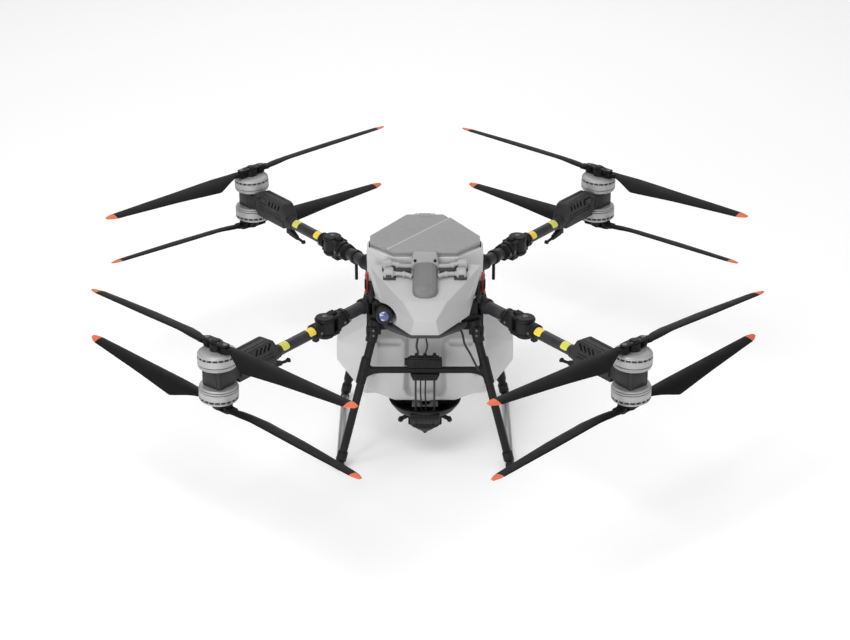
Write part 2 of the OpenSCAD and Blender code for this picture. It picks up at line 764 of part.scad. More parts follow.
module rear_right_upper_blade_a() { corner_blade(false, true, rear_right_park, 1, 1); }
module rear_right_upper_blade_b() { corner_blade(false, true, rear_right_park, 1, -1); }
module rear_right_lower_blade_a() { corner_blade(false, true, rear_right_park, -1, 1); }
module rear_right_lower_blade_b() { corner_blade(false, true, rear_right_park, -1, -1); }

center_frame();
inner_arm_tubes();
fold_brackets();
nose_cowl();
chin_tray();
radar_capsule();
capsule_conduits();
hopper();
hopper_lid();
left_hopper_latch();
right_hopper_latch();
front_leg_frame();
rear_legs();
skid_tubes();
skid_feet();
control_module();
spreader_struts();
spreader_housing();
spinner_disc();
metering_gate();
camera_bracket();
camera_barrel();
battery();
antenna_pegs();
cable_harness();
front_left_arm();
front_right_arm();
rear_left_arm();
rear_right_arm();
front_left_motor_mount();
front_right_motor_mount();
rear_left_motor_mount();
rear_right_motor_mount();
front_left_upper_rotor();
front_left_lower_rotor();
front_right_upper_rotor();
front_right_lower_rotor();
rear_left_upper_rotor();
rear_left_lower_rotor();
rear_right_upper_rotor();
rear_right_lower_rotor();
front_left_upper_blade_a();
front_left_upper_blade_b();
front_left_lower_blade_a();
front_left_lower_blade_b();
front_right_upper_blade_a();
front_right_upper_blade_b();
front_right_lower_blade_a();
front_right_lower_blade_b();
rear_left_upper_blade_a();
rear_left_upper_blade_b();
rear_left_lower_blade_a();
rear_left_lower_blade_b();
rear_right_upper_blade_a();
rear_right_upper_blade_b();
rear_right_lower_blade_a();
rear_right_lower_blade_b();
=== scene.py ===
import json
from math import atan2, copysign, cos, hypot, pi, radians, sin, sqrt

import bmesh
import bpy
from mathutils import Matrix, Vector


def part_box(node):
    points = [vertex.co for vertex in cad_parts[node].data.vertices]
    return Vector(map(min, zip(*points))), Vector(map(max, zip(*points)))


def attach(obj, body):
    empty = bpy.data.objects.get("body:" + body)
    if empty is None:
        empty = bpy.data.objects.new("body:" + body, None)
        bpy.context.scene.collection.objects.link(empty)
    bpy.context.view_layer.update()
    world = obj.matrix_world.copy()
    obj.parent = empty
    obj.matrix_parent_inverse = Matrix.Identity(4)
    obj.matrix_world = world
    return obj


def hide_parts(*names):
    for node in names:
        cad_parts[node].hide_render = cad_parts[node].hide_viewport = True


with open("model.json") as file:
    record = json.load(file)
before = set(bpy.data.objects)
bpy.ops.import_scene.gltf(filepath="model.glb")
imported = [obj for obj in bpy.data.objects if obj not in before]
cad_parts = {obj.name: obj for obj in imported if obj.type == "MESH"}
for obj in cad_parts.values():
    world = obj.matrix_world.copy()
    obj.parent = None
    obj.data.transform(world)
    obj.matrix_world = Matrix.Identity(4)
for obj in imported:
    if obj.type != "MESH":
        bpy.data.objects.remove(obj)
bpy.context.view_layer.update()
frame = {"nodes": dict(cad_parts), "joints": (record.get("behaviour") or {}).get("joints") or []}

# Every mesh is drawn in millimetres, in the frame's own axes, and scaled to metres when it becomes a piece.
MM = 0.001
JOINTS = {j["name"]: j for j in frame["joints"]}
CORNERS = ["front_left", "front_right", "rear_left", "rear_right"]
LEVELS = {"upper": 1, "lower": -1}
UP = Vector((0, 0, 1))
# TO_X lays a form that is drawn along Z along X, FORWARD lays it along -Y.
TO_X = Matrix.Rotation(pi / 2, 4, "Y")
FORWARD = Matrix.Rotation(pi / 2, 4, "X")
at = Matrix.Translation


def corner_box(node):
    """Lowest and highest corner of a CAD node, in millimetres."""
    low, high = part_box(node)
    return low / MM, high / MM


def joint_at(name):
    return Vector(JOINTS[name]["pos_m"]) / MM


# ------------------------------------ materials

def add_node(tree, kind, **settings):
    made = tree.nodes.new(kind)
    for key, value in settings.items():
        if key in made.inputs:
            made.inputs[key].default_value = value
        else:
            setattr(made, key, value)
    return made


def material(name):
    """A new material, its nodes, its shader and the object's own coordinates."""
    made = bpy.data.materials.new(name)
    made.use_nodes = True
    tree = made.node_tree
    coords = add_node(tree, "ShaderNodeTexCoord").outputs["Object"]
    return made, tree, tree.nodes["Principled BSDF"], coords


def noise_on(tree, coords, scale, detail=3.0, rough=0.5):
    made = add_node(tree, "ShaderNodeTexNoise", Scale=scale, Detail=detail, Roughness=rough)
    tree.links.new(coords, made.inputs["Vector"])
    return made.outputs["Fac"]


def ramp(tree, value, low, high, out_low, out_high):
    made = add_node(tree, "ShaderNodeMapRange")
    for socket, number in zip(("From Min", "From Max", "To Min", "To Max"), (low, high, out_low, out_high)):
        made.inputs[socket].default_value = number
    tree.links.new(value, made.inputs["Value"])
    return made.outputs["Result"]


def mixed(tree, factor, first, second):
    made = add_node(tree, "ShaderNodeMix", data_type="RGBA")
    tree.links.new(factor, made.inputs["Factor"])
    for socket, colour in ((made.inputs[6], first), (made.inputs[7], second)):
        if isinstance(colour, tuple):
            socket.default_value = colour + (1,)
        else:
            tree.links.new(colour, socket)
    return made.outputs[2]


def bump(tree, shader, height, strength, distance):
    made = add_node(tree, "ShaderNodeBump", Strength=strength, Distance=distance)
    tree.links.new(height, made.inputs["Height"])
    tree.links.new(made.outputs["Normal"], shader.inputs["Normal"])


def tint(colour, share):
    return tuple(min(1, c * share) for c in colour)


def surface(tree, shader, tone, rough, shine=0.5, coat=0.0, coat_rough=0.03, metallic=0.0):
    """Joins a tone and a roughness to the shader, and sets its plain values."""
    tree.links.new(tone, shader.inputs["Base Color"])
    tree.links.new(rough, shader.inputs["Roughness"])
    for socket, number in (("Specular IOR Level", shine), ("Coat Weight", coat),
                           ("Coat Roughness", coat_rough), ("Metallic", metallic)):
        shader.inputs[socket].default_value = number


def moulded(name, colour, rough=0.5, grain=900, mottle=0.08, coat=0.0, shine=0.5):
    """Moulded plastic: a faint uneven tone, fine grain, and a painted highlight that makes sharp convex edges
    paler.
    """
    made, tree, shader, coords = material(name)
    cloud = ramp(tree, noise_on(tree, coords, 7, 4), 0.3, 0.7, 0, 1)
    tone = mixed(tree, cloud, tint(colour, 1 - mottle), tint(colour, 1 + mottle))
    # Painted highlight: sharply convex edges (high pointiness) are mixed towards a paler tone.
    geometry = add_node(tree, "ShaderNodeNewGeometry")
    edge = ramp(tree, geometry.outputs["Pointiness"], 0.52, 0.60, 0, 0.35)
    tone = mixed(tree, edge, tone, tuple(min(1, c * 1.5 + 0.02) for c in colour))
    speck = noise_on(tree, coords, 60, 4)
    surface(tree, shader, tone, ramp(tree, speck, 0.3, 0.7, rough - 0.06, rough + 0.08), shine, coat, 0.25)
    bump(tree, shader, noise_on(tree, coords, grain, 2), 0.25, 0.0002)
    return made


def carbon(name, colour, rough=0.38, coat=0.35, shine=0.5):
    """Woven carbon composite: two crossing bands of fibre tows, and slow streaks along the part."""
    made, tree, shader, coords = material(name)
    weave = add_node(tree, "ShaderNodeMath", operation="MULTIPLY")
    for socket, turn in zip(weave.inputs, (45, -45)):
        mapping = add_node(tree, "ShaderNodeMapping", Rotation=(0, 0, radians(turn)))
        tree.links.new(coords, mapping.inputs["Vector"])
        band = add_node(tree, "ShaderNodeTexWave", Scale=420)
        tree.links.new(mapping.outputs["Vector"], band.inputs["Vector"])
        tree.links.new(band.outputs["Fac"], socket)
    tows = weave.outputs[0]
    streak = noise_on(tree, coords, 18, 5, 0.6)
    tone = mixed(tree, ramp(tree, streak, 0.35, 0.65, 0, 1), tint(colour, 0.75), tint(colour, 1.45))
    tone = mixed(tree, ramp(tree, tows, 0, 1, 0, 0.3), tone, tint(colour, 2.2))
    surface(tree, shader, tone, ramp(tree, streak, 0.3, 0.7, rough - 0.06, rough + 0.1), shine, coat, 0.2)
    bump(tree, shader, tows, 0.15, 0.0002)
    return made


def metal(name, colour, rough=0.35, brush=(1, 1, 60), metallic=0.85):
    """Machined or drawn metal, with fine brushing along one axis and small smudges."""
    made, tree, shader, coords = material(name)
    mapping = add_node(tree, "ShaderNodeMapping", Scale=brush)
    tree.links.new(coords, mapping.inputs["Vector"])
    lines = noise_on(tree, mapping.outputs["Vector"], 60, 4, 0.7)
    smudge = noise_on(tree, coords, 12, 3)
    tone = mixed(tree, ramp(tree, lines, 0.3, 0.7, 0, 1), tint(colour, 0.86), tint(colour, 1.12))
    surface(tree, shader, tone, ramp(tree, smudge, 0.3, 0.7, rough - 0.05, rough + 0.12), metallic=metallic)
    bump(tree, shader, lines, 0.12, 0.0001)
    return made


def lens_glass(name):
    """A coated lens: dark blue glass with a few pale glints in it."""
    made, tree, shader, coords = material(name)
    facing = add_node(tree, "ShaderNodeLayerWeight", Blend=0.35).outputs["Facing"]
    tone = mixed(tree, ramp(tree, facing, 0.15, 0.7, 0, 1), (0.05, 0.08, 0.22), (0.006, 0.008, 0.03))
    glint = ramp(tree, noise_on(tree, coords, 75, 1), 0.56, 0.62, 0, 1)
    film = ramp(tree, noise_on(tree, coords, 30, 2), 0.3, 0.7, 0.04, 0.1)
    surface(tree, shader, mixed(tree, glint, tone, (0.6, 0.68, 0.9)), film, coat=1.0)
    return made


MAT = {
    "shell": moulded("pale_shell", (0.47, 0.47, 0.475), mottle=0.03, shine=0.4),
    # A darker copy of the pale shell: painted shade for the nose cheeks and the conduits.
    "shell_shade": moulded("shaded_shell", (0.38, 0.38, 0.385), mottle=0.04, shine=0.4),
    "hopper": moulded("hopper_plastic", (0.55, 0.55, 0.555), 0.45, grain=500, mottle=0.04, shine=0.4),
    "lid": moulded("lid_plastic", (0.28, 0.28, 0.283), mottle=0.03, shine=0.4),
    "capsule": moulded("capsule_plastic", (0.17, 0.17, 0.174), mottle=0.05),
    "capsule_cap": moulded("capsule_cap_plastic", (0.33, 0.33, 0.335), mottle=0.04, shine=0.4),
    "housing": moulded("dark_housing", (0.02, 0.02, 0.0215), mottle=0.2, shine=0.25),
    "black": moulded("black_fitting", (0.006, 0.006, 0.0065), 0.45, mottle=0.3, shine=0.2),
    "tray": moulded("tray_plastic", (0.045, 0.045, 0.047), 0.55, mottle=0.15, shine=0.3),
    "leg": carbon("leg_tube", (0.007, 0.007, 0.0078), rough=0.45, coat=0.0, shine=0.2),
    "blade": carbon("blade_carbon", (0.0045, 0.0045, 0.0048), rough=0.5, coat=0.0, shine=0.14),
    "arm": carbon("arm_carbon", (0.022, 0.0205, 0.024), rough=0.42, coat=0.1, shine=0.3),
    "tip": moulded("orange_tip", (0.72, 0.15, 0.065), 0.45, mottle=0.06, shine=0.3),
    "yellow": moulded("yellow_band", (0.86, 0.62, 0.05), 0.4, mottle=0.05, coat=0.3),
    "lime": moulded("pale_yellow_band", (0.62, 0.64, 0.08), 0.4, mottle=0.05, coat=0.3),
    "motor": metal("motor_alloy", (0.4, 0.4, 0.405), 0.42, brush=(1, 1, 40), metallic=0.35),
    "motor_dark": metal("motor_recess", (0.06, 0.06, 0.062), 0.5, metallic=0.4),
    "skid": metal("skid_alloy", (0.36, 0.36, 0.37), 0.3, brush=(40, 1, 40), metallic=0.9),
    "dull_steel": metal("dull_steel", (0.2, 0.2, 0.21), rough=0.45),
    "steel": metal("bright_steel", (0.55, 0.55, 0.56), 0.3, metallic=0.9),
    "red": moulded("latch_red", (0.3, 0.022, 0.016), 0.35, mottle=0.1, coat=0.4),
    "rubber": moulded("rubber", (0.014, 0.014, 0.015), 0.75, mottle=0.2),
    "cable": moulded("cable_sheath", (0.012, 0.012, 0.013), 0.55, mottle=0.1),
    "lens": lens_glass("lens_glass"),
}


# ------------------------------------ mesh tools

def fresh():
    return bmesh.new()


def placed(part, matrix):
    bmesh.ops.transform(part, matrix=matrix, verts=part.verts)
    return part


def merge(target, part, matrix=None, slot_index=0):
    """Adds a part to target and frees it. A slot_index of None keeps the part's own materials."""
    if matrix is not None:
        placed(part, matrix)
    if slot_index is not None:
        for face in part.faces:
            face.material_index = slot_index
    holder = bpy.data.meshes.new("holder")
    part.to_mesh(holder)
    part.free()
    target.from_mesh(holder)
    bpy.data.meshes.remove(holder)


def joined(*parts, matrix=None, slot_index=0):
    bm = fresh()
    for part in parts:
        merge(bm, part, matrix, slot_index)
    return bm


def mirrored(bm, axis=0):
    bmesh.ops.scale(bm, vec=[-1 if i == axis else 1 for i in range(3)], verts=bm.verts)
    bmesh.ops.reverse_faces(bm, faces=bm.faces)
    return bm


def both(*parts, axis=0):
    """Parts and their mirror image across X = 0, or across Y = 0 where axis is 1."""
    one = joined(*parts, slot_index=None)
    other = mirrored(one.copy(), axis)
    return joined(one, other, slot_index=None)


def ring_of(part, count, start=0.0):
    """Copies of a part, spread evenly round Z."""
    bm = fresh()
    for i in range(count):
        merge(bm, part.copy(), Matrix.Rotation(2 * pi * (i + start) / count, 4, "Z"), None)
    part.free()
    return bm


def across(half, *pairs):
    """Points at X = -half and X = half for each (y, z)."""
    return twins(*[(half, y, z) for y, z in pairs])


def twins(*points):
    """Points and their mirror images across X = 0."""
    return [(s * x, y, z) for s in (-1, 1) for x, y, z in points]


def piece(bm, name, materials, replaces="", body="airframe", crease=32):
    """Turns a mesh in millimetres into a named piece that rides on a body."""
    bmesh.ops.remove_doubles(bm, verts=bm.verts, dist=0.001)
    bmesh.ops.recalc_face_normals(bm, faces=bm.faces)
    bmesh.ops.scale(bm, vec=(MM, MM, MM), verts=bm.verts)
    made = as_object(bm, name)
    made.data.polygons.foreach_set("use_smooth", [True] * len(made.data.polygons))
    made.data.set_sharp_from_angle(angle=radians(crease))
    for key in materials.split():
        made.data.materials.append(MAT[key])
    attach(made, body)
    if replaces:
        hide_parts(replaces)


def as_object(bm, name):
    mesh = bpy.data.meshes.new(name)
    bm.to_mesh(mesh)
    bm.free()
    made = bpy.data.objects.new(name, mesh)
    bpy.context.scene.collection.objects.link(made)
    return made


def discard(made):
    mesh = made.data
    bpy.data.objects.remove(made)
    bpy.data.meshes.remove(mesh)


def modified(bm, *modifiers):
    """Runs Blender modifiers, each a kind and its settings, on a mesh and gives back the result."""
    work = as_object(bm, "work")
    for kind, settings in modifiers:
        made = work.modifiers.new(kind, kind)
        for key, value in settings.items():
            setattr(made, key, value)
    bpy.context.view_layer.update()
    evaluated = work.evaluated_get(bpy.context.evaluated_depsgraph_get())
    result = fresh()
    result.from_mesh(evaluated.to_mesh())
    evaluated.to_mesh_clear()
    discard(work)
    return result


def melted(bm, voxel):
    """Fuses overlapping forms into one skin with soft joins, as a moulding or a casting has."""
    return modified(bm, ("REMESH", {"mode": "VOXEL", "voxel_size": voxel}),
                    ("CORRECTIVE_SMOOTH", {"iterations": 4, "use_only_smooth": True, "factor": 0.5}))


def cut(bm, cutter):
    """Takes the form cutter out of bm."""
    tool = as_object(cutter, "cutter")
    result = modified(bm, ("BOOLEAN", {"object": tool, "operation": "DIFFERENCE", "solver": "EXACT"}))
    discard(tool)
    return result


def frame_matrix(origin, x_axis, z_axis):
    z = Vector(z_axis).normalized()
    x = (Vector(x_axis) - z * Vector(x_axis).dot(z)).normalized()
    matrix = Matrix((x, z.cross(x), z)).transposed().to_4x4()
    matrix.translation = Vector(origin)
    return matrix


def loft(rings, close_ends=True):
    """Skins a list of rings of points, each ring with the same number of points."""
    bm = fresh()
    made = [[bm.verts.new(point) for point in ring] for ring in rings]
    count = len(made[0])
    for low, high in zip(made, made[1:]):
        for i in range(count):
            bm.faces.new((low[i], low[(i + 1) % count], high[(i + 1) % count], high[i]))
    if close_ends:
        bm.faces.new(reversed(made[0]))
        bm.faces.new(made[-1])
    return bm


def lathe(profile, segments=64, closed=True):
    """Turns a list of (radius, height) about Z."""
    turns = [2 * pi * i / segments for i in range(segments)]
    rings = [[(radius * cos(t), radius * sin(t), height) for t in turns] for radius, height in profile]
    bm = loft(rings + rings[:1] if closed else rings, close_ends=False)
    bmesh.ops.remove_doubles(bm, verts=bm.verts, dist=0.001)
    return bm


def turned(low, profile, high, segments=40):
    """A solid of revolution: a profile between a flat bottom and a flat top."""
    return lathe([(0, low)] + profile + [(0, high)], segments, closed=False)


def disc(radius, low, high, segments=40):
    return turned(low, [(radius, low), (radius, high)], high, segments)


def rounded(bm, width, segments=3, sharper_than=25):
    """Rounds the sharp edges of a form."""
    sharp = [e for e in bm.edges if len(e.link_faces) == 2
             and e.calc_face_angle(0) > radians(sharper_than)]
    if sharp and width > 0:
        bmesh.ops.bevel(bm, geom=sharp, offset=width, segments=segments, profile=0.5,
                        affect="EDGES", clamp_overlap=True)
    return bm


def box(low, high, edge=2.0, segments=3):
    low, high = Vector(low), Vector(high)
    bm = fresh()
    bmesh.ops.create_cube(bm, size=1)
    bmesh.ops.scale(bm, vec=high - low, verts=bm.verts)
    bmesh.ops.translate(bm, vec=(low + high) / 2, verts=bm.verts)
    return rounded(bm, edge, segments)


def prism(outline, low, high, edge=2.0, segments=3):
    """A straight-sided solid over an outline in the XY plane."""
    bm = fresh()
    face = bm.faces.new([bm.verts.new((x, y, low)) for x, y in outline])
    lifted = bmesh.ops.extrude_face_region(bm, geom=[face])["geom"]
    lifted = [v for v in lifted if isinstance(v, bmesh.types.BMVert)]
    bmesh.ops.translate(bm, vec=(0, 0, high - low), verts=lifted)
    bmesh.ops.recalc_face_normals(bm, faces=bm.faces)
    return rounded(bm, edge, segments)


def hull(points, edge=4.0):
    """The tightest form round some points, with its edges rounded."""
    bm = fresh()
    for point in points:
        bm.verts.new(point)
    made = bmesh.ops.convex_hull(bm, input=bm.verts)
    spare = {v for v in made["geom_interior"] + made["geom_unused"] if isinstance(v, bmesh.types.BMVert)}
    bmesh.ops.delete(bm, geom=list(spare), context="VERTS")
    bmesh.ops.recalc_face_normals(bm, faces=bm.faces)
    bmesh.ops.dissolve_limit(bm, angle_limit=radians(2), verts=bm.verts, edges=bm.edges)
    return rounded(bm, edge, 3, 8)


def tube(points, radius, segments=20):
    """A round bar along a path of points, with mitred bends."""
    points = [Vector(p) for p in points]
    rings = []
    side = None
    for i, point in enumerate(points):
        before = (point - points[i - 1]).normalized() if i else (points[1] - point).normalized()
        after = (points[i + 1] - point).normalized() if i + 1 < len(points) else before
        along = (before + after).normalized()
        if side is None:
            side = along.orthogonal().normalized()
        side = (side - along * side.dot(along)).normalized()
        other = along.cross(side)
        rings.append([point + (side * cos(t) + other * sin(t)) * radius
                      for t in (2 * pi * k / segments for k in range(segments))])
    return loft(rings)


def bar(start, end, radius, edge=2.0, segments=32):
    """A straight round bar with softened ends."""
    start, end = Vector(start), Vector(end)
    length = (end - start).length
    edge = min(edge, radius * 0.5)
    soft = [(radius - edge, 0), (radius - edge * 0.3, edge * 0.3), (radius, edge)]
    profile = soft + [(r, length - z) for r, z in reversed(soft)]
    along = end - start
    return placed(turned(0, profile, length, segments), frame_matrix(start, along.orthogonal(), along))


def curve_points(controls, steps=8):
    """A smooth path (Catmull-Rom) through a few control points."""
    p = [Vector(c) for c in controls]
    p = [p[0] * 2 - p[1]] + p + [p[-1] * 2 - p[-2]]
    path = []
    for i in range(1, len(p) - 2):
        for k in range(steps):
            t = k / steps
            path.append(0.5 * (2 * p[i] + (p[i + 1] - p[i - 1]) * t
                               + (2 * p[i - 1] - 5 * p[i] + 4 * p[i + 1] - p[i + 2]) * t * t
                               + (3 * p[i] - p[i - 1] - 3 * p[i + 1] + p[i + 2]) * t ** 3))
    path.append(p[-2])
    return path


def arc(radius, start, end, steps):
    """Points (x, y) on an arc between two angles in degrees."""
    turns = [radians(start + (end - start) * i / steps) for i in range(steps + 1)]
    return [(radius * cos(t), radius * sin(t)) for t in turns]


def bolt_head(radius=4.5, height=3.5):
    """A round cap screw with a socket."""
    socket = radius * 0.5
    return turned(0, [(radius, 0), (radius, height * 0.75), (radius * 0.85, height), (socket, height),
                      (socket, height * 0.35)], height * 0.35, 24)


def side_bolts(xs, y):
    """Screws in the two flanks of a clamp that lies along X."""
    return [placed(bolt_head(), at((x, s * y, 0)) @ Matrix.Rotation(-s * pi / 2, 4, "X"))
            for x in xs for s in (-1, 1)]


# ------------------------------------ propellers and motors

PROP_R = 686
PROP_HEIGHT = 109
PIN_X = 47
TIP_LENGTH = 38
FLARE_R = 190
ROOT_CHORD, CHORD, TIP_CHORD = 30, 84, 36
BELL_R = 67.5
BELL_LOW = 42
BELL_HIGH = 92
CLAMP_GAP = 8.75
CLAMP_PLATE = 7
CLAMP_TOP = PROP_HEIGHT + CLAMP_GAP + CLAMP_PLATE


def between(x, pairs):
    """Smooth lookup in a short list of (x, value)."""
    for (x0, y0), (x1, y1) in zip(pairs, pairs[1:]):
        if x <= x1:
            t = max(0.0, (x - x0) / (x1 - x0))
            return y0 + (y1 - y0) * t * t * (3 - 2 * t)
    return pairs[-1][1]


def clamped(value):
    return min(1, max(0, value))


def blade_section(radius, turn):
    """One section of a blade, seen along its length: a cambered wing that turns oval at the root."""
    chord = ROOT_CHORD + (CHORD - ROOT_CHORD) * clamped((radius - 70) / (FLARE_R - 70))
    if radius > FLARE_R:
        chord = CHORD - (CHORD - TIP_CHORD) * (radius - FLARE_R) / (PROP_R - FLARE_R)
    end = max(0, (radius - (PROP_R - TIP_LENGTH)) / TIP_LENGTH)
    chord -= 22 * end ** 1.7
    thickness = between(radius, [(60, 16), (100, 15), (170, 11.5), (450, 8), (PROP_R, 3.5)])
    pitch = radians(between(radius, [(60, 0), (84, 4), (FLARE_R, 19), (430, 12), (PROP_R, 8)]))
    camber = 0.05 * chord * clamped((radius - 80) / 70)
    wing_share = clamped((radius - 75) / 60)
    lead = 22 - 9 * end ** 2
    section = []
    count = 15
    for i in range(2 * count):
        upper = i < count
        s = 0.5 - 0.5 * cos(pi * (i if upper else 2 * count - i) / count)
        wing = thickness * (1.3 * sqrt(s) * (1 - s) + 0.28 * s * (1 - s)) * 0.95 + 0.5
        oval = thickness * 0.5 * sqrt(max(0, 1 - (2 * s - 1) ** 2)) + 0.4
        half = oval * (1 - wing_share) + wing * wing_share
        y = lead - s * chord
        z = 4 * camber * s * (1 - s) + (half if upper else -half * 0.75)
        section.append(Vector((radius, turn * (y * cos(pitch) - z * sin(pitch)),
                               y * sin(pitch) + z * cos(pitch))))
    return section


def blade_mesh(turn):
    stations = [60, 70, 80, 92, 105, 120, 135, 150, 165, 178, FLARE_R - 4, FLARE_R + 4, 205, 230, 265,
                320, 380, 440, 500, 560, 610] + [PROP_R - back for back in (TIP_LENGTH, 26, 14, 6, 2, 0)]
    skin = loft([blade_section(r, turn) for r in stations])
    for face in skin.faces:
        face.material_index = 1 if face.calc_center_median().x > PROP_R - TIP_LENGTH else 0
    ear = lathe([(6.1, -8.2), (15.5, -8.2), (17, -6.7), (17, 6.7), (15.5, 8.2), (6.1, 8.2)], 40)
    neck = prism([(56, -13), (78, -14), (84, -12), (84, 14), (78, 17), (56, 14)], -8, 8, 3)
    return joined(skin, placed(ear, at((PIN_X, 0, 0))), placed(neck, Matrix.Diagonal((1, turn, 1, 1))),
                  slot_index=None)


def bell_mesh():
    """The motor's turning can: a smooth cap over a ring of fine vents, a waist groove and a rolled lip."""
    r, low, high = BELL_R, BELL_LOW, BELL_HIGH
    vent_low, vent_high = high - 20, high - 12
    bm = lathe([
        (r - 7, low), (r - 1, low), (r, low + 1.5), (r, low + 4.5), (r - 2.4, low + 5.6),
        (r - 2.4, low + 7.6), (r, low + 8.8), (r, vent_low - 1), (r - 1, vent_low), (r - 7, vent_low),
        (r - 7, vent_high), (r - 0.5, vent_high), (r - 1, vent_high + 3), (r - 3.5, vent_high + 7),
        (r - 8, high - 2),
        (r - 15, high - 0.6), (r - 24, high), (0, high), (0, low + 20), (r - 7, low + 20)], 96)
    for face in bm.faces:
        centre = face.calc_center_median()
        radius = hypot(centre.x, centre.y)
        recess = vent_low < centre.z < vent_high and radius < r - 5
        groove = radius < r - 1.5 and low + 5 < centre.z < low + 8
        inside = centre.z < low + 21 and radius < r - 6.9
        face.material_index = 1 if recess or groove or inside else 0
    for slot_index in (0, 1):
        fin = box((r - 9, -1.7, vent_low - 0.5), (r - 1.4, 1.7, vent_high + 0.5), 0.5, 1)
        merge(bm, ring_of(fin, 20, slot_index / 2), slot_index=slot_index)
    merge(bm, ring_of(placed(bolt_head(2.6, 1.8), at((r - 20, 0, high - 0.6))), 6, 0.5), slot_index=2)
    return bm


def clamp_mesh():
    """Two black clamp plates that hold the blades, and the boss between them."""
    outline = []
    for side in (1, -1):
        outline += [(side * (PIN_X + x), side * y) for x, y in arc(15, -80, 80, 12)]
        outline += [(side * 24, side * 13), (side * 10, side * 19)]
    top, middle = CLAMP_TOP, PROP_HEIGHT
    upper, lower = middle + CLAMP_GAP, middle - CLAMP_GAP
    return joined(
        prism(outline, lower - CLAMP_PLATE, lower - 1, 1.6), prism(outline, upper + 1, top, 1.6),
        turned(BELL_HIGH - 1, [(24, BELL_HIGH - 1), (22, middle), (24, upper)], upper),
        turned(top - 0.5, [(15, top - 0.5), (15, top + 3), (12, top + 5)], top + 5, 36))


def pins_mesh():
    """Blade pins with flanged heads, and four cap screws in the clamp."""
    low, top = PROP_HEIGHT - 18, CLAMP_TOP
    head = [(6, low), (6, top), (8.5, top), (8.5, top + 1.4), (7.4, top + 2.4), (4, top + 2.4),
            (4, top + 1.2)]
    pin = placed(turned(low, head, top + 1.2, 32), at((PIN_X, 0, 0)))
    screws = [placed(bolt_head(2.8, 2.2), at((20, y, top))) for y in (-9.1, 9.1)]
    return both(pin, *screws)


def rotor_frame(corner, level):
    """The rotor's own frame: its origin between the two motors, X towards blade a's pin, Z along the axis."""
    spin = JOINTS[f"{corner}_{level}_spin"]
    centre = Vector(spin["pos_m"]) / MM
    pin = joint_at(f"{corner}_{level}_blade_a_fold")
    return frame_matrix(centre, pin - centre, Vector(spin["axis"]))


def build_rotor(corner, level):
    sign = LEVELS[level]
    body = f"{corner}_{level}_rotor"
    place = rotor_frame(corner, level)
    flip = Matrix.Diagonal((1, 1, sign, 1))
    for label, make, materials in (("bell", bell_mesh, "motor motor_dark steel"),
                                   ("clamp", clamp_mesh, "black"), ("pins", pins_mesh, "dull_steel")):
        node = body if label == "bell" else ""
        piece(placed(make(), place @ flip), f"{corner}_{level}_{label}", materials, node, body)
    handed = sign * (1 if corner in ("front_right", "rear_left") else -1)
    for letter, turn in (("a", 0), ("b", pi)):
        node = f"{corner}_{level}_blade_{letter}"
        raised = Matrix.Rotation(turn, 4, "Z") @ at((0, 0, sign * PROP_HEIGHT))
        piece(placed(blade_mesh(handed), place @ raised), f"{node}_skin", "blade tip", node,
              node, 40)


# ------------------------------------ arms

ESC_LENGTH = 262
ESC_HALF_W = 28
TUBE_R = 20.5
INNER_R = 23
INNER_LENGTH = 250


def arm_frame(corner):
    """The arm's own frame, X outwards from the fold pin, and the rotor's distance and height in it."""
    fold = joint_at(f"{corner}_arm_fold")
    rotor = joint_at(f"{corner}_upper_spin")
    flat = Vector((rotor.x - fold.x, rotor.y - fold.y, 0))
    return frame_matrix(fold, flat, UP), flat.length, rotor.z - fold.z


def band_mesh(start, place):
    """A plain yellow patch: a thin sheet wrapped round the side of the tube that looks up and forward."""
    forward = place.to_3x3().inverted() @ Vector((0, -0.75, 1))
    middle = atan2(forward.z, forward.y)
    width, spread, steps, ends = 34, radians(62), 14, 8
    rings = []
    for i in range(ends + 1):
        inset = 0.16 * abs(2 * i / ends - 1) ** 6
        angles = [middle + spread * (1 - inset) * (2 * k / steps - 1) for k in range(steps + 1)]
        rings.append([(start + i / ends * width, radius * cos(a), radius * sin(a))
                      for radius, sweep in ((TUBE_R + 0.5, angles), (TUBE_R - 1, angles[::-1])) for a in sweep])
    return placed(loft(rings), place)


def knuckle_mesh():
    """The moving half of a fold joint: an eye on the pin, a web, and a split clamp on the tube."""
    steps = [(26, 38), (28, 40), (28, 49), (26, 51), (26, 54), (28, 56), (28, 64), (26, 66)]
    clamp = turned(38, steps, 66, 48)
    flank = hull([(38, 22, -16), (38, 22, 12), (62, 25, -12), (62, 25, 8), (44, 27, -4)], 2)
    return joined(lathe([(9.1, -22), (32, -22), (34, -20), (34, 20), (32, 22), (9.1, 22)], 48),
                  box((10, -20, -21), (46, 20, 21), 5), placed(clamp, TO_X),
                  both(box((46, 20, -9), (60, 30, 9), 2.5), flank, axis=1),
                  box((40, -10, -40), (60, 10, -20), 3))


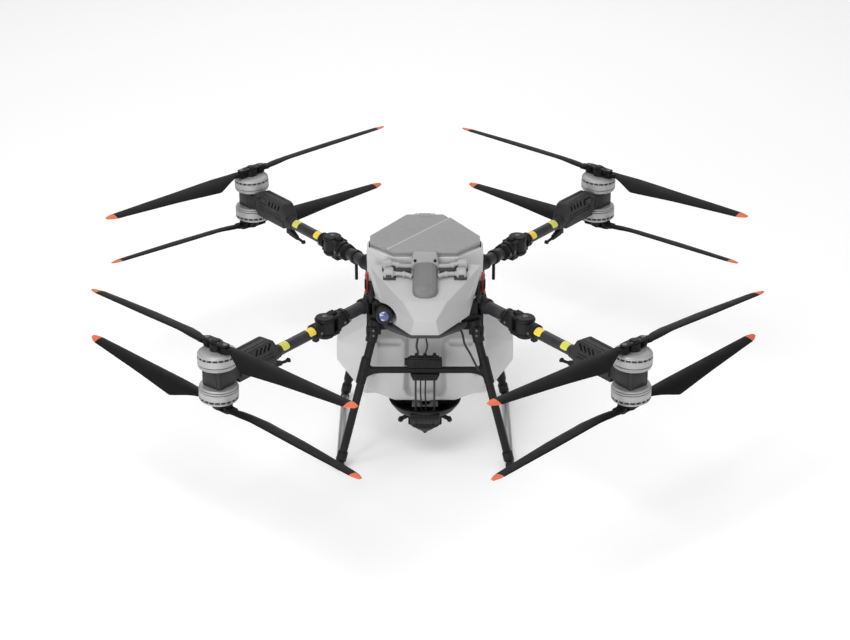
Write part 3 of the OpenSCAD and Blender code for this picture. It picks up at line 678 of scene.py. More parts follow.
def bracket_mesh():
    """The fixed half of a fold joint: ears over and under the knuckle, and a clamp on the inner tube."""
    ear = arc(36, -90, 90, 16) + [(-12, 31), (-40, 26), (-58, 26), (-58, -26), (-40, -26), (-12, -31)]
    parts = [prism(ear, low, low + 10, 2.5) for low in (22.3, -32.3)]
    parts.append(turned(31, [(31, 31), (33, 33), (33, 35.5), (31, 37.5), (24, 38.5)], 38.5, 48))
    parts.append(turned(-40, [(26, -40), (31, -37), (33, -33), (33, -31)], -31, 48))
    side = [(x, w, z) for x in (-60, -45) for w, z in ((18, -40), (30, -20), (30, 20), (18, 34))]
    parts.append(both(hull(side, 3), axis=1))
    parts.append(box((-58, -22, -44), (-20, 22, -30), 4))
    parts.append(box((-60, -29, -32), (-43, 29, 32), 5))
    parts.append(bar((-108, 0, 0), (-54, 0, 0), 28, 2, 40))
    for low, high, half in ((-103, -84, 31), (-78, -50, 33)):
        parts.append(hull([(x, y, z) for x in (low, high) for a, b in ((half, 14), (14, half))
                           for y in (-a, a) for z in (-b, b)], 3))
    parts += [both(box((x - 8, 24, -9), (x + 8, 37, 9), 2.5), axis=1) for x in (-95, -67)]
    parts.append(box((-56, -11, 28), (-20, 11, 41), 3.5))
    parts += [box((-53 + 9 * k, -13, 33), (-48 + 9 * k, 13, 42.5), 1.2, 2) for k in range(3)]
    return joined(*parts)


def esc_body():
    """The slotted speed-controller housing, drawn with the rotor axis at X = 0."""
    back = -ESC_LENGTH
    side = [(back, -22), (back + 8, -26), (-72, -26), (-72, -9), (-30, -9), (-30, 61), (-72, 61), (-80, 71),
            (back + 30, 72), (back + 16, 66), (back - 8, 30), (back - 10, 22)]
    body = placed(prism(side, -ESC_HALF_W, ESC_HALF_W, 4), FORWARD)
    slots = fresh()
    for y in (-ESC_HALF_W, ESC_HALF_W):
        for i in range(4):
            lean = at((back + 38 + i * 21, y, 50)) @ Matrix.Rotation(radians(-24), 4, "Y")
            merge(slots, box((-5, -9, -13), (5, 9, 13), 1.5, 2), lean)
        for z in (20, 9):
            merge(slots, box((back + 22, y - 2.5, z), (-86, y + 5, z + 3), 1, 2))
        merge(slots, box((-138, y - 3, 34), (-92, y + 6, 62), 2, 2))
    return cut(body, slots)


def esc_mesh(rise):
    """The housing with its ribs and collar, and the square motor mount, centred at rise over the arm."""
    back = -ESC_LENGTH
    bm = esc_body()
    for y in (-1, 1):
        face = y * ESC_HALF_W
        merge(bm, box((back + 4, face - 2, -20), (back + 60, face + 3, 4), 2.2))
        merge(bm, box((-134, face - 6, 38), (-96, face - 1, 58), 1.5))
        merge(bm, box((back + 34, y * 14 - 2, 69), (-86, y * 14 + 2, 74), 1.4, 2))
        merge(bm, box((-28, y * 41 - 2, rise - 24), (28, y * 41 + 2, rise + 24), 1.8, 2))
    for x in (-100, -60):
        merge(bm, hull([(x, y * w, z) for y in (-1, 1) for w, z in ((28, -8), (28, 50), (31, 20))]
                       + [(x + 24, y * 36, z) for y in (-1, 1) for z in (-6, 48)], 2))
    merge(bm, box((-41, -41, rise - 36), (41, 41, rise + 36), 9, 4))
    merge(bm, box((39, -28, rise - 24), (43, 28, rise + 24), 1.8, 2))
    collar = turned(back - 34, [(22.5, back - 34), (24.5, back - 31), (24.5, back - 18), (27, back - 16),
                                (27, back + 6)], back + 6)
    merge(bm, collar, TO_X)
    return bm


def rest_mesh():
    """The small hook that holds a folded blade."""
    back = -ESC_LENGTH
    hook = curve_points([(back - 30, 0, -50), (back - 62, 0, -54), (back - 88, 0, -57.5)])
    ends = ((-96, 8, -62), (-84, 8, -63), (-92, 7, -48), (-80, 7, -52))
    return joined(box((back - 12, -11, -50), (back + 14, 11, -20), 4),
                  hull([(back - 4, y, z) for y in (-11, 11) for z in (-52, -26)]
                       + [(back - 52, y, z) for y in (-6, 6) for z in (-61, -44)], 3),
                  tube(hook, 5.5, 16), hull([(back + x, y, z) for x, w, z in ends for y in (-w, w)], 2.5))


def stator_mesh():
    """The fixed base ring under a motor bell."""
    low, high, r = 34, BELL_LOW - 1, BELL_R - 3
    return turned(low, [(r - 3, low), (r, low + 2), (r, high - 1.5), (r - 1.5, high)], high, 72)


def build_arm(corner):
    body = f"{corner}_arm"
    place, length, rise = arm_frame(corner)
    at_rotor = place @ at((length, 0, 0))
    piece(placed(bar((52, 0, 0), (length - 80, 0, 0), TUBE_R, 1, 40), place), f"{corner}_arm_tube", "arm",
          body, body)
    knuckle = joined(knuckle_mesh(), matrix=place)
    merge(knuckle, joined(*side_bolts((52,), 30)), place, 1)
    piece(knuckle, f"{corner}_knuckle", "black dull_steel", body=body)
    for label, start, key in (("inner", 69, "yellow"), ("outer", length - ESC_LENGTH - 77, "lime")):
        piece(band_mesh(start, place), f"{corner}_{label}_band", key, body=body)
    piece(placed(esc_mesh(rise), at_rotor), f"{corner}_esc_housing", "housing",
          f"{corner}_motor_mount", body)
    piece(placed(rest_mesh(), at_rotor), f"{corner}_blade_rest", "black", body=body)
    for level, sign in LEVELS.items():
        base = placed(stator_mesh(), rotor_frame(corner, level) @ Matrix.Diagonal((1, 1, sign, 1)))
        piece(base, f"{corner}_{level}_stator", "motor", body=body)


def build_root(corner):
    """The fixed end of an arm: the fold bracket with its pin, and the inner tube."""
    place = arm_frame(corner)[0]
    bracket = joined(bracket_mesh(), matrix=place)
    for sign in (1, -1):
        pin = turned(0, [(9, 0), (9, 40), (7, 41.5), (4, 41.5), (4, 39)], 39, 36)
        merge(bracket, pin, place @ Matrix.Diagonal((1, 1, sign, 1)), 1)
    merge(bracket, joined(*side_bolts((-95, -67), 37)), place, 1)
    first = corner == CORNERS[0]
    piece(bracket, f"{corner}_fold_bracket", "black dull_steel",
          "fold_brackets" if first else "")
    inner = bar((-INNER_LENGTH, 0, 0), (-56, 0, 0), INNER_R, 1, 40)
    piece(placed(inner, place), f"{corner}_inner_tube", "arm", "inner_arm_tubes" if first else "")


# ------------------------------------ hopper

NECK_HALF_W = 211
RIM_Z = 752
LID_LOW = 755
LID_PIN = joint_at("lid_hinge")


def octagon(grow=0.0):
    """The neck's eight-sided outline, grown or shrunk."""
    side = NECK_HALF_W + grow
    right = [(117, -109 - grow), (side, -20), (side, 34), (74 + grow / 2, 240 + grow)]
    return right + [(-x, y) for x, y in reversed(right)]


def block_points(half_w, back, front, *heights):
    return twins(*[(half_w, y, z) for y in (back, front) for z in heights])


def octagon_ring(steps):
    """A closed band round the neck, from its section as a list of (grow, height)."""
    loops = [[Vector((x, y, z)) for x, y in octagon(grow)] for grow, z in steps]
    bm = loft(loops + loops[:1], close_ends=False)
    bmesh.ops.remove_doubles(bm, verts=bm.verts, dist=0.01)
    return bm


def hopper_front():
    """The bin's boxy front, with a deep groove down its middle and shallow ledges beside it."""
    front = block_points(219, 13, -154, 262, 431) + block_points(205, 5, -146, 231)
    front += block_points(109, -30, -171, 203) + block_points(150, -20, -100, 470)
    groove = [(s * x, y, z) for s in (-1, 1) for x, y in ((60, -128), (84, -180)) for z in (246, 560)]
    tools = joined(hull(groove + twins((48, -144, 224), (70, -185, 214)), 0))
    for s in (-1, 1):
        for xs, ledge in (((86, 172), ((-141, 419), (-141, 480), (-170, 417), (-170, 480))),
                          ((178, 240), ((-147, 300), (-147, 412), (-170, 296), (-170, 416)))):
            merge(tools, hull([(s * x, y, z) for x in xs for y, z in ledge], 0))
    return cut(hull(front, 0), tools)


def hopper_mesh():
    """A blow-moulded bin: an eight-sided neck that swells into shoulders, a boxy front and a round outlet."""
    shoulders = [(x, y, 441) for x, y in octagon()]
    for z in (300, 377):
        shoulders += twins(*[(x, y, z) for x, y in ((190, -113), (327, -30), (327, 150), (200, 241))])
    shoulders += block_points(224, -120, 180, 206)
    outlet = placed(disc(47, 199, 230, 48), at((0, -122, 0)))
    bm = melted(joined(prism(octagon(), 420, RIM_Z, 0), prism(octagon(1), 690, 740, 5, 4), hull(shoulders, 0),
                       hopper_front(), outlet), 4.0)
    inside = [(s * x, y, z) for s in (-1, 1) for x, y in ((100, -90), (190, -20), (190, 30), (70, 220))
              for z in (330, 442)]
    return cut(bm, joined(prism(octagon(-7), 440, RIM_Z + 20, 0),
                          hull(inside + twins((60, -110, 240), (60, -20, 240)), 0)))


def build_hopper():
    piece(hopper_mesh(), "hopper_bin", "hopper", "hopper", crease=50)
    section = ((-19, -8), (-19, -1), (-17, 1), (-13, 1), (-11, -1), (-11, -8))
    rim = octagon_ring([(grow, RIM_Z + z) for grow, z in section])
    piece(rounded(rim, 6, 3, 20), "hopper_rim", "hopper")
    hinge = placed(lathe([(4.1, 24), (9, 24), (9, 38), (4.1, 38)], 28), at(LID_PIN) @ TO_X)
    lugs = both(hinge, box((24, 236, RIM_Z - 44), (38, LID_PIN.y + 6, LID_PIN.z - 6), 3),
                box((48.5, -128, 191), (56.5, -60, 214), 1.5), box((43, -128, 191), (55, -60, 194), 1),
                box((140, -90, 655), (204, -78, 668), 2.5))
    piece(lugs, "hopper_lugs", "hopper")


def lid_mesh():
    """A shallow eight-sided lid, creased on one diagonal, with a stepped edge and a painted highlight along the
    crease.
    """
    right = [(116, -111), (200, -20), (200, 33), (69, 237)]
    outline = right + [(-x, y) for x, y in reversed(right)]
    bm = prism(outline, LID_LOW + 7, LID_LOW + 20, 0)
    top = [f for f in bm.faces if f.normal.z > 0.9][0]
    bmesh.ops.inset_region(bm, faces=[top], thickness=9, depth=0)
    start, end = Vector((-121, -76, 0)), Vector((81, 189, 0))
    along = (end - start).normalized()
    normal = Vector((along.y, -along.x, 0))
    for shift in (-3.6, 0.0, 3.6):
        bmesh.ops.bisect_plane(bm, geom=list(bm.verts) + list(bm.edges) + list(bm.faces),
                               plane_co=start + normal * shift, plane_no=normal)
    for vert in bm.verts:
        side = (vert.co - start).dot(normal)
        if vert.co.z > LID_LOW + 19 and side > 3.5:
            vert.co.z -= 1.2 * min(1.0, side / 90)
        if vert.co.z > LID_LOW + 17 and abs(side) < 0.1:
            vert.co.z += 2.6
    rounded(bm, 3.0, 3, 40)
    for low, high, shrink in ((3.5, 8, 0.975), (0, 4, 0.99), (-1, 1, 0.985)):
        step = [(x * shrink, (y - 60) * shrink + 60) for x, y in outline]
        merge(bm, prism(step, LID_LOW + low, LID_LOW + high, 1.2, 2))
    # Painted highlight: the faces on the crease ridge take the paler second material.
    for face in bm.faces:
        centre = face.calc_center_median()
        if centre.z > LID_LOW + 17 and abs((centre - start).dot(normal)) < 3.4:
            face.material_index = 1
    return bm


def build_lid():
    y, z = LID_PIN.y, LID_PIN.z
    bm = lid_mesh()
    merge(bm, placed(disc(8, -22.5, 22.5, 28), at(LID_PIN) @ TO_X))
    merge(bm, box((-22.5, 228, LID_LOW + 1), (22.5, y, LID_LOW + 19), 3))
    merge(bm, box((-23, 212, LID_LOW + 15), (23, 240, LID_LOW + 24), 4))
    piece(bm, "lid_panel", "lid shell", "hopper_lid", "lid")
    piece(bar((-44, y, z), (44, y, z), 4, 1, 24), "lid_hinge_pin", "steel", body="lid")
    seal_low = RIM_Z + 1.05
    seal = octagon_ring([(-12, seal_low), (-12, LID_LOW), (-18, LID_LOW), (-18, seal_low)])
    piece(seal, "lid_seal", "rubber", body="lid")


def build_latches():
    """Red levers with a black grip in the middle, each on a pin between two lugs."""
    for side, sign in (("left", 1), ("right", -1)):
        low, high = corner_box(f"{side}_hopper_latch")
        if sign < 0:
            low.x, high.x = -high.x, -low.x
        foot = joint_at(f"{side}_latch_swing").z
        bm = box((low.x, low.y, foot - 4), (high.x, high.y, high.z), 3.5)
        grips = [box((high.x - 5, low.y - 1, foot + 22), (high.x + 1.5, high.y + 1, high.z - 22), 2.5)]
        for k in range(4):
            z = foot + 27 + k * 9
            grips.append(box((high.x, low.y + 3, z), (high.x + 3, high.y - 3, z + 4), 1.2, 2))
        for z in (foot + 12, high.z - 11):
            stud = turned(0, [(4, 0), (4, 1), (2.5, 2)], 2, 20)
            grips.append(placed(stud, at((high.x - 0.3, (low.y + high.y) / 2, z)) @ TO_X))
        merge(bm, joined(*grips), slot_index=1)
        if sign < 0:
            mirrored(bm)
        piece(bm, f"{side}_latch_lever", "red black", f"{side}_hopper_latch", f"{side}_latch")


# ------------------------------------ nose

CAMERA = joint_at("camera_tilt")


def build_cowl():
    """The pale faceted nose with painted shade on its two cheeks, and a round seat for the camera."""
    bm = hull([(s * x, y, z) for s in (1, -1) for x, y, z in (
        (203, -112, 724), (203, -112, 700), (188, -112, 640), (158, -246, 646), (158, -240, 580),
        (78, -300, 662), (37, -346, 606), (50, -336, 546), (112, -205, 534), (150, -112, 534))], 3.5)
    bm = cut(bm, placed(disc(45, 60, 330, 56), at((CAMERA.x, 0, CAMERA.z)) @ FORWARD))
    bm.normal_update()
    # Painted shade: facets that face forward and to the side take the darker shell_shade material.
    for face in bm.faces:
        cheek = 0.4 < abs(face.normal.x) < 0.8 and face.normal.y < -0.55
        face.material_index = 1 if cheek else 0
    piece(bm, "nose_shell", "shell shell_shade", "nose_cowl", crease=28)


def drum_mesh():
    """The radar drum on the cowl's slope: squarish, ribbed along its length, with a rounded front."""
    back, front = Vector((0, -136, 716)), Vector((0, -286, 668))
    along = (front - back).normalized()
    lift = Vector((0, along.z, -along.y))
    rings = []
    steps, count = 16, 56
    for i in range(steps + 1):
        s = i / steps
        nose = max(0.0, (s - 0.72) / 0.28)
        shrink = sqrt(max(0.0, 1 - nose ** 2.4))
        half_w = 46 * (0.93 + 0.07 * s) * (0.35 + 0.65 * shrink)
        height = 33 * (0.2 + 0.8 * shrink)
        ring = []
        for k in range(count):
            c, d = cos(2 * pi * k / count), sin(2 * pi * k / count)
            x = half_w * copysign(abs(c) ** 0.55, c)
            z = height * copysign(abs(d) ** 0.6, d)
            if d > 0.2 and 0.04 < s < 0.9:
                z += 0.9 * cos(x / half_w * 7 * pi)
            ring.append(back.lerp(front, s) + Vector((x, 0, 0)) + lift * z)
        rings.append(ring)
    return loft(rings)


def build_capsule():
    """The radar drum, and its cap up at the lid with two screws."""
    piece(drum_mesh(), "radar_drum", "capsule", "radar_capsule", crease=50)
    cap = hull(twins((46, -112, 706), (46, -112, 762), (40, -114, 776), (49, -146, 700), (49, -150, 744),
                     (40, -138, 758)), 6)
    piece(cap, "radar_cap", "capsule_cap")
    screws = [placed(bolt_head(5.5, 3), at((x, -147, 752)) @ Matrix.Rotation(radians(55), 4, "X"))
              for x in (-36, 36)]
    piece(joined(*screws), "radar_cap_screws", "black")


def build_conduits():
    """Pale pipes either side of the drum, darkened with painted shade, their couplings and end blocks, over
    dark boxes that are partly plugs and partly painted shade for the recesses beneath them.
    """
    pipes = [tube(curve_points([(46, -140, 728), (84, -142, 730), (118, -138, 738), (150, -130, 742)]), 8.5),
             tube(curve_points([(46, -196, 712), (66, -186, 716), (90, -180, 716), (122, -178, 716)]), 7.5)]
    couplings = [bar(start, end, radius, 1.5, 28) for start, end, radius in (
        ((70, -184, 716), (80, -183, 716), 10), ((108, -179, 716), (116, -179, 716), 10),
        ((92, -142, 731), (104, -141, 733), 11))]
    blocks = [box((112, -192, 703), (147, -150, 731), 6), box((118, -148, 716), (152, -118, 750), 6)]
    # The pipes, couplings and end blocks take the darker shell_shade material: painted shade.
    piece(both(*pipes, *couplings, *blocks), "wiring_conduits", "shell_shade",
          "capsule_conduits")
    # Dark boxes under and beside the pipes: partly plugs, partly painted shade standing for the recesses
    # beneath them.
    dark = both(box((52, -166, 696), (110, -148, 724), 3), box((120, -198, 700), (140, -190, 716), 2.5),
                box((104, -196, 698), (150, -146, 704), 2), box((108, -150, 710), (154, -116, 722), 2))
    piece(dark, "conduit_plugs_and_shade", "tray")


def build_tray():
    """The dark tray under the nose."""
    bm = hull(twins((152, -226, 548), (152, -226, 530), (61, -323, 541), (131, -228, 514),
                    (51, -313, 522)), 4)
    piece(bm, "chin_shell", "tray", "chin_tray")


def build_camera():
    """Tilting camera pod: a round dark body, a stepped bezel and a domed lens."""
    facing = at(CAMERA) @ FORWARD
    barrel = turned(-20, [(26, -20), (30, -17), (31, -12), (31, 13), (29, 18), (26, 20), (23.5, 20),
                          (22.5, 17.5), (21, 16.5)], 16.5, 64)
    pins = placed(both(bar((29, 0, 0), (40, 0, 0), 3, 0.5, 20)), at(CAMERA))
    piece(joined(placed(barrel, facing), pins), "camera_body", "housing", "camera_barrel",
          "camera")
    dome = [(19 * cos(t), 16.5 + 9 * sin(t)) for t in (pi / 2 * i / 10 for i in range(11))]
    lens = lathe([(0, 15), (19, 15)] + dome, 56, closed=False)
    piece(placed(lens, facing), "camera_lens", "lens", body="camera", crease=60)


# ------------------------------------ undercarriage

LEG_TOP = Vector((172, -206, 560))
LEG_FOOT = Vector((310, -306, 14))
REAR_TOP = Vector((180, 284, 600))
REAR_FOOT = Vector((310, 250, 14))
CROSS_Z = 364
LEG_R = 15


def on_line(z, top, foot):
    """The point at a height on the line from top to foot."""
    return top + (foot - top) * ((top.z - z) / (top.z - foot.z))


def on_leg(z):
    return on_line(z, LEG_TOP, LEG_FOOT)


CROSS = on_leg(CROSS_Z)


def gusset(tip, rise, reach):
    """A web between the leg and the crossbar with a hollow curved edge."""
    away = CROSS + Vector((-reach - 16, 0, rise))
    middle = (tip + away) * 0.3 + (CROSS + UP * rise * 0.5) * 0.4 + Vector((-8, 0, 0))
    outline = [(p.x, p.z) for p in curve_points([tip, middle, away]) + [CROSS]]
    if rise < 0:
        outline.reverse()
    bm = loft([[Vector((x, y, z)) for x, z in outline] for y in (CROSS.y - 8, CROSS.y + 8)])
    bmesh.ops.recalc_face_normals(bm, faces=bm.faces)
    return bm


def leg_clamp():
    """Two collars at the top of a leg, and a block with two screws."""
    middle = on_leg(510)
    bm = joined(bar(on_leg(548), on_leg(516), 23, 3), bar(on_leg(500), on_leg(468), 21, 3),
                box(middle + Vector((-27, -12, -14)), middle + Vector((27, 14, 16)), 4),
                box(middle + Vector((-10, -30, -18)), middle + Vector((12, -12, 22)), 4))
    for dz in (-8, 12):
        merge(bm, bolt_head(4, 3), at(middle + Vector((0, -30, dz))) @ FORWARD, 1)
    return bm


def build_legs():
    piece(both(bar(LEG_TOP - UP * 14, on_leg(37), LEG_R, 2, 40)), "front_leg_tubes", "leg",
          "front_leg_frame")
    bm = both(bar(on_leg(CROSS_Z + 48), on_leg(CROSS_Z - 52), 18.5, 4),
              gusset(on_leg(CROSS_Z + 36), 9, 30), gusset(on_leg(CROSS_Z - 46), -9, 58))
    merge(bm, box((-CROSS.x, CROSS.y - 10.5, CROSS_Z - 11), (CROSS.x, CROSS.y + 10.5, CROSS_Z + 11), 3))
    piece(melted(bm, 3.2), "leg_crossbar", "black", crease=50)
    piece(both(leg_clamp()), "leg_clamps", "black dull_steel")
    lower, upper, foot = [on_line(z, REAR_TOP, REAR_FOOT) for z in (74, 170, 37)]
    piece(both(bar(REAR_TOP, foot, LEG_R, 2, 40), bar(lower, upper, 18.5, 4)), "rear_leg_tubes", "leg",
          "rear_legs")


def build_skids():
    """The two skid tubes, the sleeves that join them to the legs, and rubber pads."""
    low, high = corner_box("skid_tubes")
    x, z, r = LEG_FOOT.x, (low.z + high.z) / 2, (high.z - low.z) / 2
    rail = bar((x, low.y, z), (x, high.y, z), r, 1, 40)
    piece(both(rail), "skid_rails", "skid", "skid_tubes")
    sleeves = []
    for start, end in ((low.y - 20, low.y + 46), (high.y - 56, high.y + 16)):
        length = end - start
        half = [(r, 0), (r + 2.5, 3), (r + 2.5, 14), (r + 1.4, 16)]
        profile = half + [(width, length - along) for width, along in reversed(half)]
        sleeves.append(placed(turned(0, profile, length), frame_matrix((x, start, z), (1, 0, 0), (0, 1, 0))))
    for top, foot in ((LEG_TOP, LEG_FOOT), (REAR_TOP, REAR_FOOT)):
        sleeves.append(bar(on_line(26, top, foot), on_line(60, top, foot), 19, 3))
    piece(both(*sleeves), "skid_sleeves", "black", "skid_feet")
    pads = [box((x - 14, y, 0), (x + 14, y + 56, 12), 2.5) for y in (low.y - 12, high.y - 56)]
    piece(both(*pads), "skid_pads", "rubber")


# ------------------------------------ spreader

SPREADER = joint_at("spinner_spin")
AT_SPREADER = at((SPREADER.x, SPREADER.y, 0))


def drive_mesh():
    """The spreader's motor body: ribbed drum, nose cone, side knobs, and the gearbox in front of the bowl."""
    drum = turned(44, [(5, 45), (14, 56), (32, 68), (44, 79), (50, 84), (60, 90), (62, 98), (62, 140),
                       (58, 147)], 147, 72)
    ribs = ring_of(box((56, -5, 92), (66, 5, 142), 2.5), 8, 0.5)
    knob = lathe([(0, -9), (8, -8), (11, -4), (11, 4), (8, 8), (0, 9)], 28, closed=False)
    knob = placed(knob, at((90, -9, 106)) @ Matrix.Rotation(radians(60), 4, "Y"))
    arm = hull([(40, -20, 150), (66, -16, 150), (66, 16, 150), (40, 20, 150), (58, -12, 118), (58, 12, 118),
                (70, 0, 128)], 3)
    sides = both(bar((48, 0, 124), (88, -8, 108), 8, 3), knob, arm, bar((34, -96, 150), (34, -96, 188), 9, 2))
    gearbox = hull(across(54, (-127, 184), (-90, 184), (-127, 168), (-106, 138), (-90, 132)), 5)
    bm = joined(drum, ribs, sides, gearbox, box((-24, -70, 96), (24, -52, 140), 5),
                box((-40, -102, 160), (40, -88, 182), 4))
    for k in range(5):
        fin = hull(across(4, (-131, 180), (-120, 180), (-131, 168), (-109, 136), (-100, 140)), 2)
        merge(bm, fin, at((-40 + k * 20, 0, 0)))
    return bm


def build_spreader():
    """The guard bowl with its ribs, the motor body, the screws, and the spinner with its vanes."""
    bowl = lathe([(44, 147), (80, 147), (112, 162), (131, 188), (133, 193), (130, 195), (107, 169),
                  (78, 152.5), (44, 152.5)], 96)
    rib = hull([(x, y, z) for y in (-2, 2)
                for x, z in ((70, 140), (84, 147), (118, 170), (124, 184), (96, 156), (66, 149))], 1)
    piece(joined(bowl, ring_of(rib, 12), matrix=AT_SPREADER), "guard_bowl", "black",
          "spreader_housing")
    piece(placed(drive_mesh(), AT_SPREADER), "spreader_body", "black")
    screws = [placed(bolt_head(), at((x, y, 153))) for x, y in ((-46, -66), (46, -66), (-18, -80), (18, -80))]
    piece(joined(*screws, matrix=AT_SPREADER), "spreader_screws", "steel")
    plate = turned(158, [(80, 158), (84, 159.5), (84, 161), (80, 162), (20, 162), (14, 172), (6, 179)],
                   179, 72)
    vanes = ring_of(box((14, -1.6, 161), (80, 1.6, 172), 1), 6)
    piece(joined(plate, vanes, matrix=AT_SPREADER), "spinner_plate", "black", "spinner_disc",
          "spinner")


def build_gate():
    """The metering gate: a plate with a round hole and a raised pull."""
    low, high = corner_box("metering_gate")
    hole = placed(disc(20, low.z - 5, high.z + 5), at((0, SPREADER.y - 56, 0)))
    bm = cut(box(low, high, 1, 2), hole)
    merge(bm, box((-20, high.y - 10, high.z - 1), (20, high.y, high.z + 9), 1.5))
    piece(bm, "gate_plate", "dull_steel", "metering_gate", "gate")


def build_module():
    """The control box on the crossbar, its glands and cooling fins."""
    low, high = corner_box("control_module")
    y = CROSS.y
    bm = joined(box((low.x + 10, y - 13, 376), (high.x, y + 15, 411), 4),
                box((low.x + 18, y - 10, 407), (high.x - 10, y + 12, 418), 3),
                box((low.x, y - 10, 384), (low.x + 16, y + 12, 408), 3))
    for x in (-30, 0, 34):
        merge(bm, turned(415, [(8, 415), (8, 423), (6, 425), (6, 430)], 430, 24), at((x, y, 0)))
    for x in range(-44, 41, 14):
        merge(bm, box((x, y - 15, 382), (x + 5, y - 11, 402), 1.2, 2))
    piece(bm, "control_box", "black", "control_module")


def build_struts():
    """The bracket under the module, and two stiff rods and two cables down to the spreader."""
    y, end = CROSS.y, SPREADER.y
    bm = hull([(s * x, y + dy, z) for s in (-1, 1) for dy in (-15, 15)
               for x, z in ((54, 352), (50, 344), (43, 338), (43, 327))], 3)
    for x in range(-34, 35, 17):
        merge(bm, box((x - 5, y - 18, 330), (x + 5, y - 13, 346), 1.5, 2))
    piece(bm, "strut_bracket", "black", "spreader_struts")
    rods = [tube([(x, y, 330), (x, end - 96, 188)], 4) for x in (-34, 34)]
    for xs, bow in (((-16, -16, -14, -12), 100), ((2, 1, 3, 2), 104)):
        path = zip(xs, (y + 2, end - bow, end - 98, end - 90), (330, 260, 220, 184))
        rods.append(tube(curve_points(list(path)), 3, 14))
    piece(joined(*rods), "strut_rods", "cable")


def build_cables():
    """Two cables from the tray to the module, and one down the left leg."""
    y = CROSS.y
    paths = [
        [(-26, y - 22, 500), (-30, y - 26, 470), (-25, y - 14, 442), (-26, y, 428)],
        [(4, y - 22, 500), (8, y - 24, 470), (3, y - 12, 442), (1, y, 428)],
        [(118, -206, 530), (134, -232, 503), (142, -244, 470), (164, -252, 430), (182, -254, 392),
         (196, -256, 366)],
    ]
    cables = [tube(curve_points(path), radius, 16) for path, radius in zip(paths, (4, 3.2, 4))]
    piece(joined(*cables), "signal_cables", "cable", "cable_harness")


# ------------------------------------ rear

def build_battery():
    """A ribbed pack with a stepped top and a rubber carrying handle."""
    low, high = corner_box("battery")
    top, y = high.z - 32, (low.y + high.y) / 2
    bm = joined(box(low, (high.x, high.y, top), 8, 4),
                box((low.x + 8, low.y + 8, top - 2), (high.x - 8, high.y - 8, top + 4), 3))
    for k in range(5):
        z = low.z + 30 + k * 30
        merge(bm, box((low.x + 14, high.y - 2, z), (high.x - 14, high.y, z + 10), 1.5, 2))
    handle = [(x, y, top + z) for x, z in ((-56, 0), (-54, 22), (-40, 30), (40, 30), (54, 22), (56, 0))]
    merge(bm, tube(curve_points(handle), 8), slot_index=1)
    piece(bm, "battery_pack", "housing rubber", "battery", "battery")


FRAME_X = 219
FRAME_LOW = 565
FRAME_HIGH = FRAME_LOW + 64


def side_frame():
    """One side plate that hugs the hopper's neck, with three holes, and the blocks at its ends."""
    plate = box((FRAME_X - 6.4, -52, FRAME_LOW), (FRAME_X, 264, FRAME_HIGH), 2, 2)
    holes = [placed(disc(19, 180, 260, 32), at((0, y, FRAME_LOW + 32)) @ TO_X) for y in (-10, 48, 106)]
    return joined(cut(plate, joined(*holes)), box((185, -205, FRAME_LOW), (203, -42, FRAME_HIGH), 4),
                  box((196, -60, FRAME_LOW), (FRAME_X, -41, FRAME_HIGH), 4),
                  box((157, 259, FRAME_LOW), (FRAME_X, 304, FRAME_LOW + 50), 5),
                  box((130, -205, 505), (210, -165, 567), 6),
                  *[box((202, y, 582), (216, y + 7, 602), 2) for y in (-104, -71)])


def build_frame():
    """The side plates, the cross-members and the sockets of the inner tubes."""
    bm = both(side_frame())
    merge(bm, box((-FRAME_X + 16, -205, FRAME_LOW), (FRAME_X - 16, -171, FRAME_LOW + 50), 4))
    merge(bm, box((-FRAME_X, 250, FRAME_LOW), (FRAME_X, 264, FRAME_HIGH), 3))
    for corner in CORNERS:
        steps = [(26, -10), (29, -7), (29, 12), (27, 14), (27, 30), (29, 32), (29, 44), (25, 48)]
        socket = turned(-10, steps, 48, 48)
        merge(bm, socket, arm_frame(corner)[0] @ at((-INNER_LENGTH, 0, 0)) @ TO_X)
    piece(bm, "frame_beams", "black", "center_frame")
    pins = []
    for side in ("left", "right"):
        pin = joint_at(f"{side}_latch_swing")
        pins.append(bar(pin + Vector((0, -20, 0)), pin + Vector((0, 20, 0)), 3, 0.6, 24))
    piece(joined(*pins), "latch_pins", "steel")


def build_bay():
    """The open box that holds the battery, with four tapped holes in its back wall."""
    back = corner_box("center_frame")[1].y
    drill = joined(*[placed(disc(2.25, -30, 30, 24), at((x, back, z)) @ FORWARD)
                     for x in (-30, 30) for z in (530, 570)])
    pocket = box((-86, 272, 478), (86, back - 9, 700), 3, 2)
    bm = cut(cut(box((-96, 263, 470), (96, back, 636), 7), pocket), drill)
    for z in (494, 604):
        merge(bm, box((-70, back - 1.5, z), (70, back - 0.01, z + 12), 1.2, 2))
    piece(bm, "battery_bay", "housing")


def paint(node, key):
    """Gives a CAD node that stays visible one of the materials."""
    kept = frame["nodes"][node]
    kept.data.materials.clear()
    kept.data.materials.append(MAT[key])


# ------------------------------------ studio

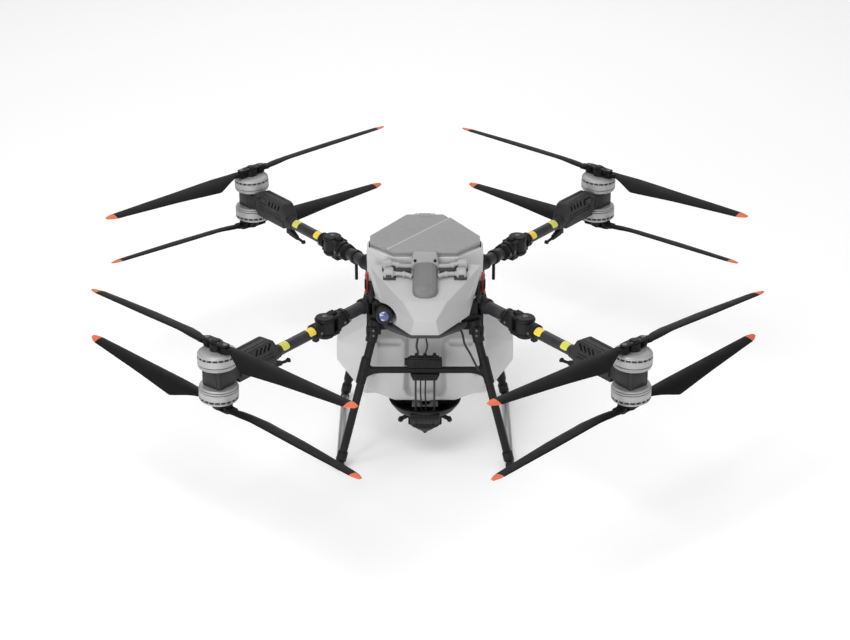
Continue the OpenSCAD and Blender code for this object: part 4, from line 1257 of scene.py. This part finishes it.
def build_floor():
    sheet = fresh()
    bmesh.ops.create_grid(sheet, x_segments=1, y_segments=1, size=60)
    made = as_object(sheet, "studio_floor")
    paper, tree, shader, coords = material("studio_paper")
    tone = mixed(tree, noise_on(tree, coords, 0.4, 2), (0.93, 0.93, 0.93), (0.95, 0.95, 0.95))
    tree.links.new(tone, shader.inputs["Base Color"])
    shader.inputs["Roughness"].default_value = 0.9
    shader.inputs["Emission Color"].default_value = (1, 1, 1, 1)
    shader.inputs["Emission Strength"].default_value = 0.16
    made.data.materials.append(paper)


def build_lights():
    world = bpy.data.worlds.new("studio_world")
    world.use_nodes = True
    sky = world.node_tree.nodes["Background"]
    sky.inputs["Color"].default_value = (1, 1, 1, 1)
    sky.inputs["Strength"].default_value = 0.5
    bpy.context.scene.world = world
    for name, place, energy, width in (
            ("key", (-2.5, -3.0, 7.0), 235, 4.0), ("fill", (5, -3, 4), 60, 5.0),
            ("front", (-2.6, -6.0, 0.9), 140, 3.0), ("back", (0, 5.5, 5.5), 100, 5.0)):
        light = bpy.data.lights.new(name, "AREA")
        light.energy = energy
        light.size = width
        lamp = bpy.data.objects.new(name, light)
        bpy.context.scene.collection.objects.link(lamp)
        lamp.location = place
        lamp.rotation_euler = (Vector((0, 0, 0.5)) - Vector(place)).to_track_quat("-Z", "Y").to_euler()


def build_view():
    """The camera looks at the nose from in front and 25 degrees above, through a long lens."""
    distance, target_z, tilt = 8.1466, 0.4499, radians(25)
    lens = bpy.data.cameras.new("view")
    lens.lens = 93.4
    lens.sensor_width = 36
    eye = bpy.data.objects.new("view", lens)
    bpy.context.scene.collection.objects.link(eye)
    eye.location = (0, -distance * cos(tilt), target_z + distance * sin(tilt))
    eye.rotation_euler = (pi / 2 - tilt, 0, 0)
    bpy.context.scene.camera = eye
    bpy.context.scene.view_settings.view_transform = "Standard"


for corner in CORNERS:
    for level in LEVELS:
        build_rotor(corner, level)
    build_arm(corner)
    build_root(corner)
for build in (build_hopper, build_lid, build_latches, build_cowl, build_capsule, build_conduits, build_tray,
              build_camera, build_legs, build_skids, build_spreader, build_gate, build_module, build_struts,
              build_cables, build_battery, build_frame, build_bay):
    build()
for node in ("camera_bracket", "antenna_pegs"):
    paint(node, "black")
build_floor()
build_lights()
build_view()
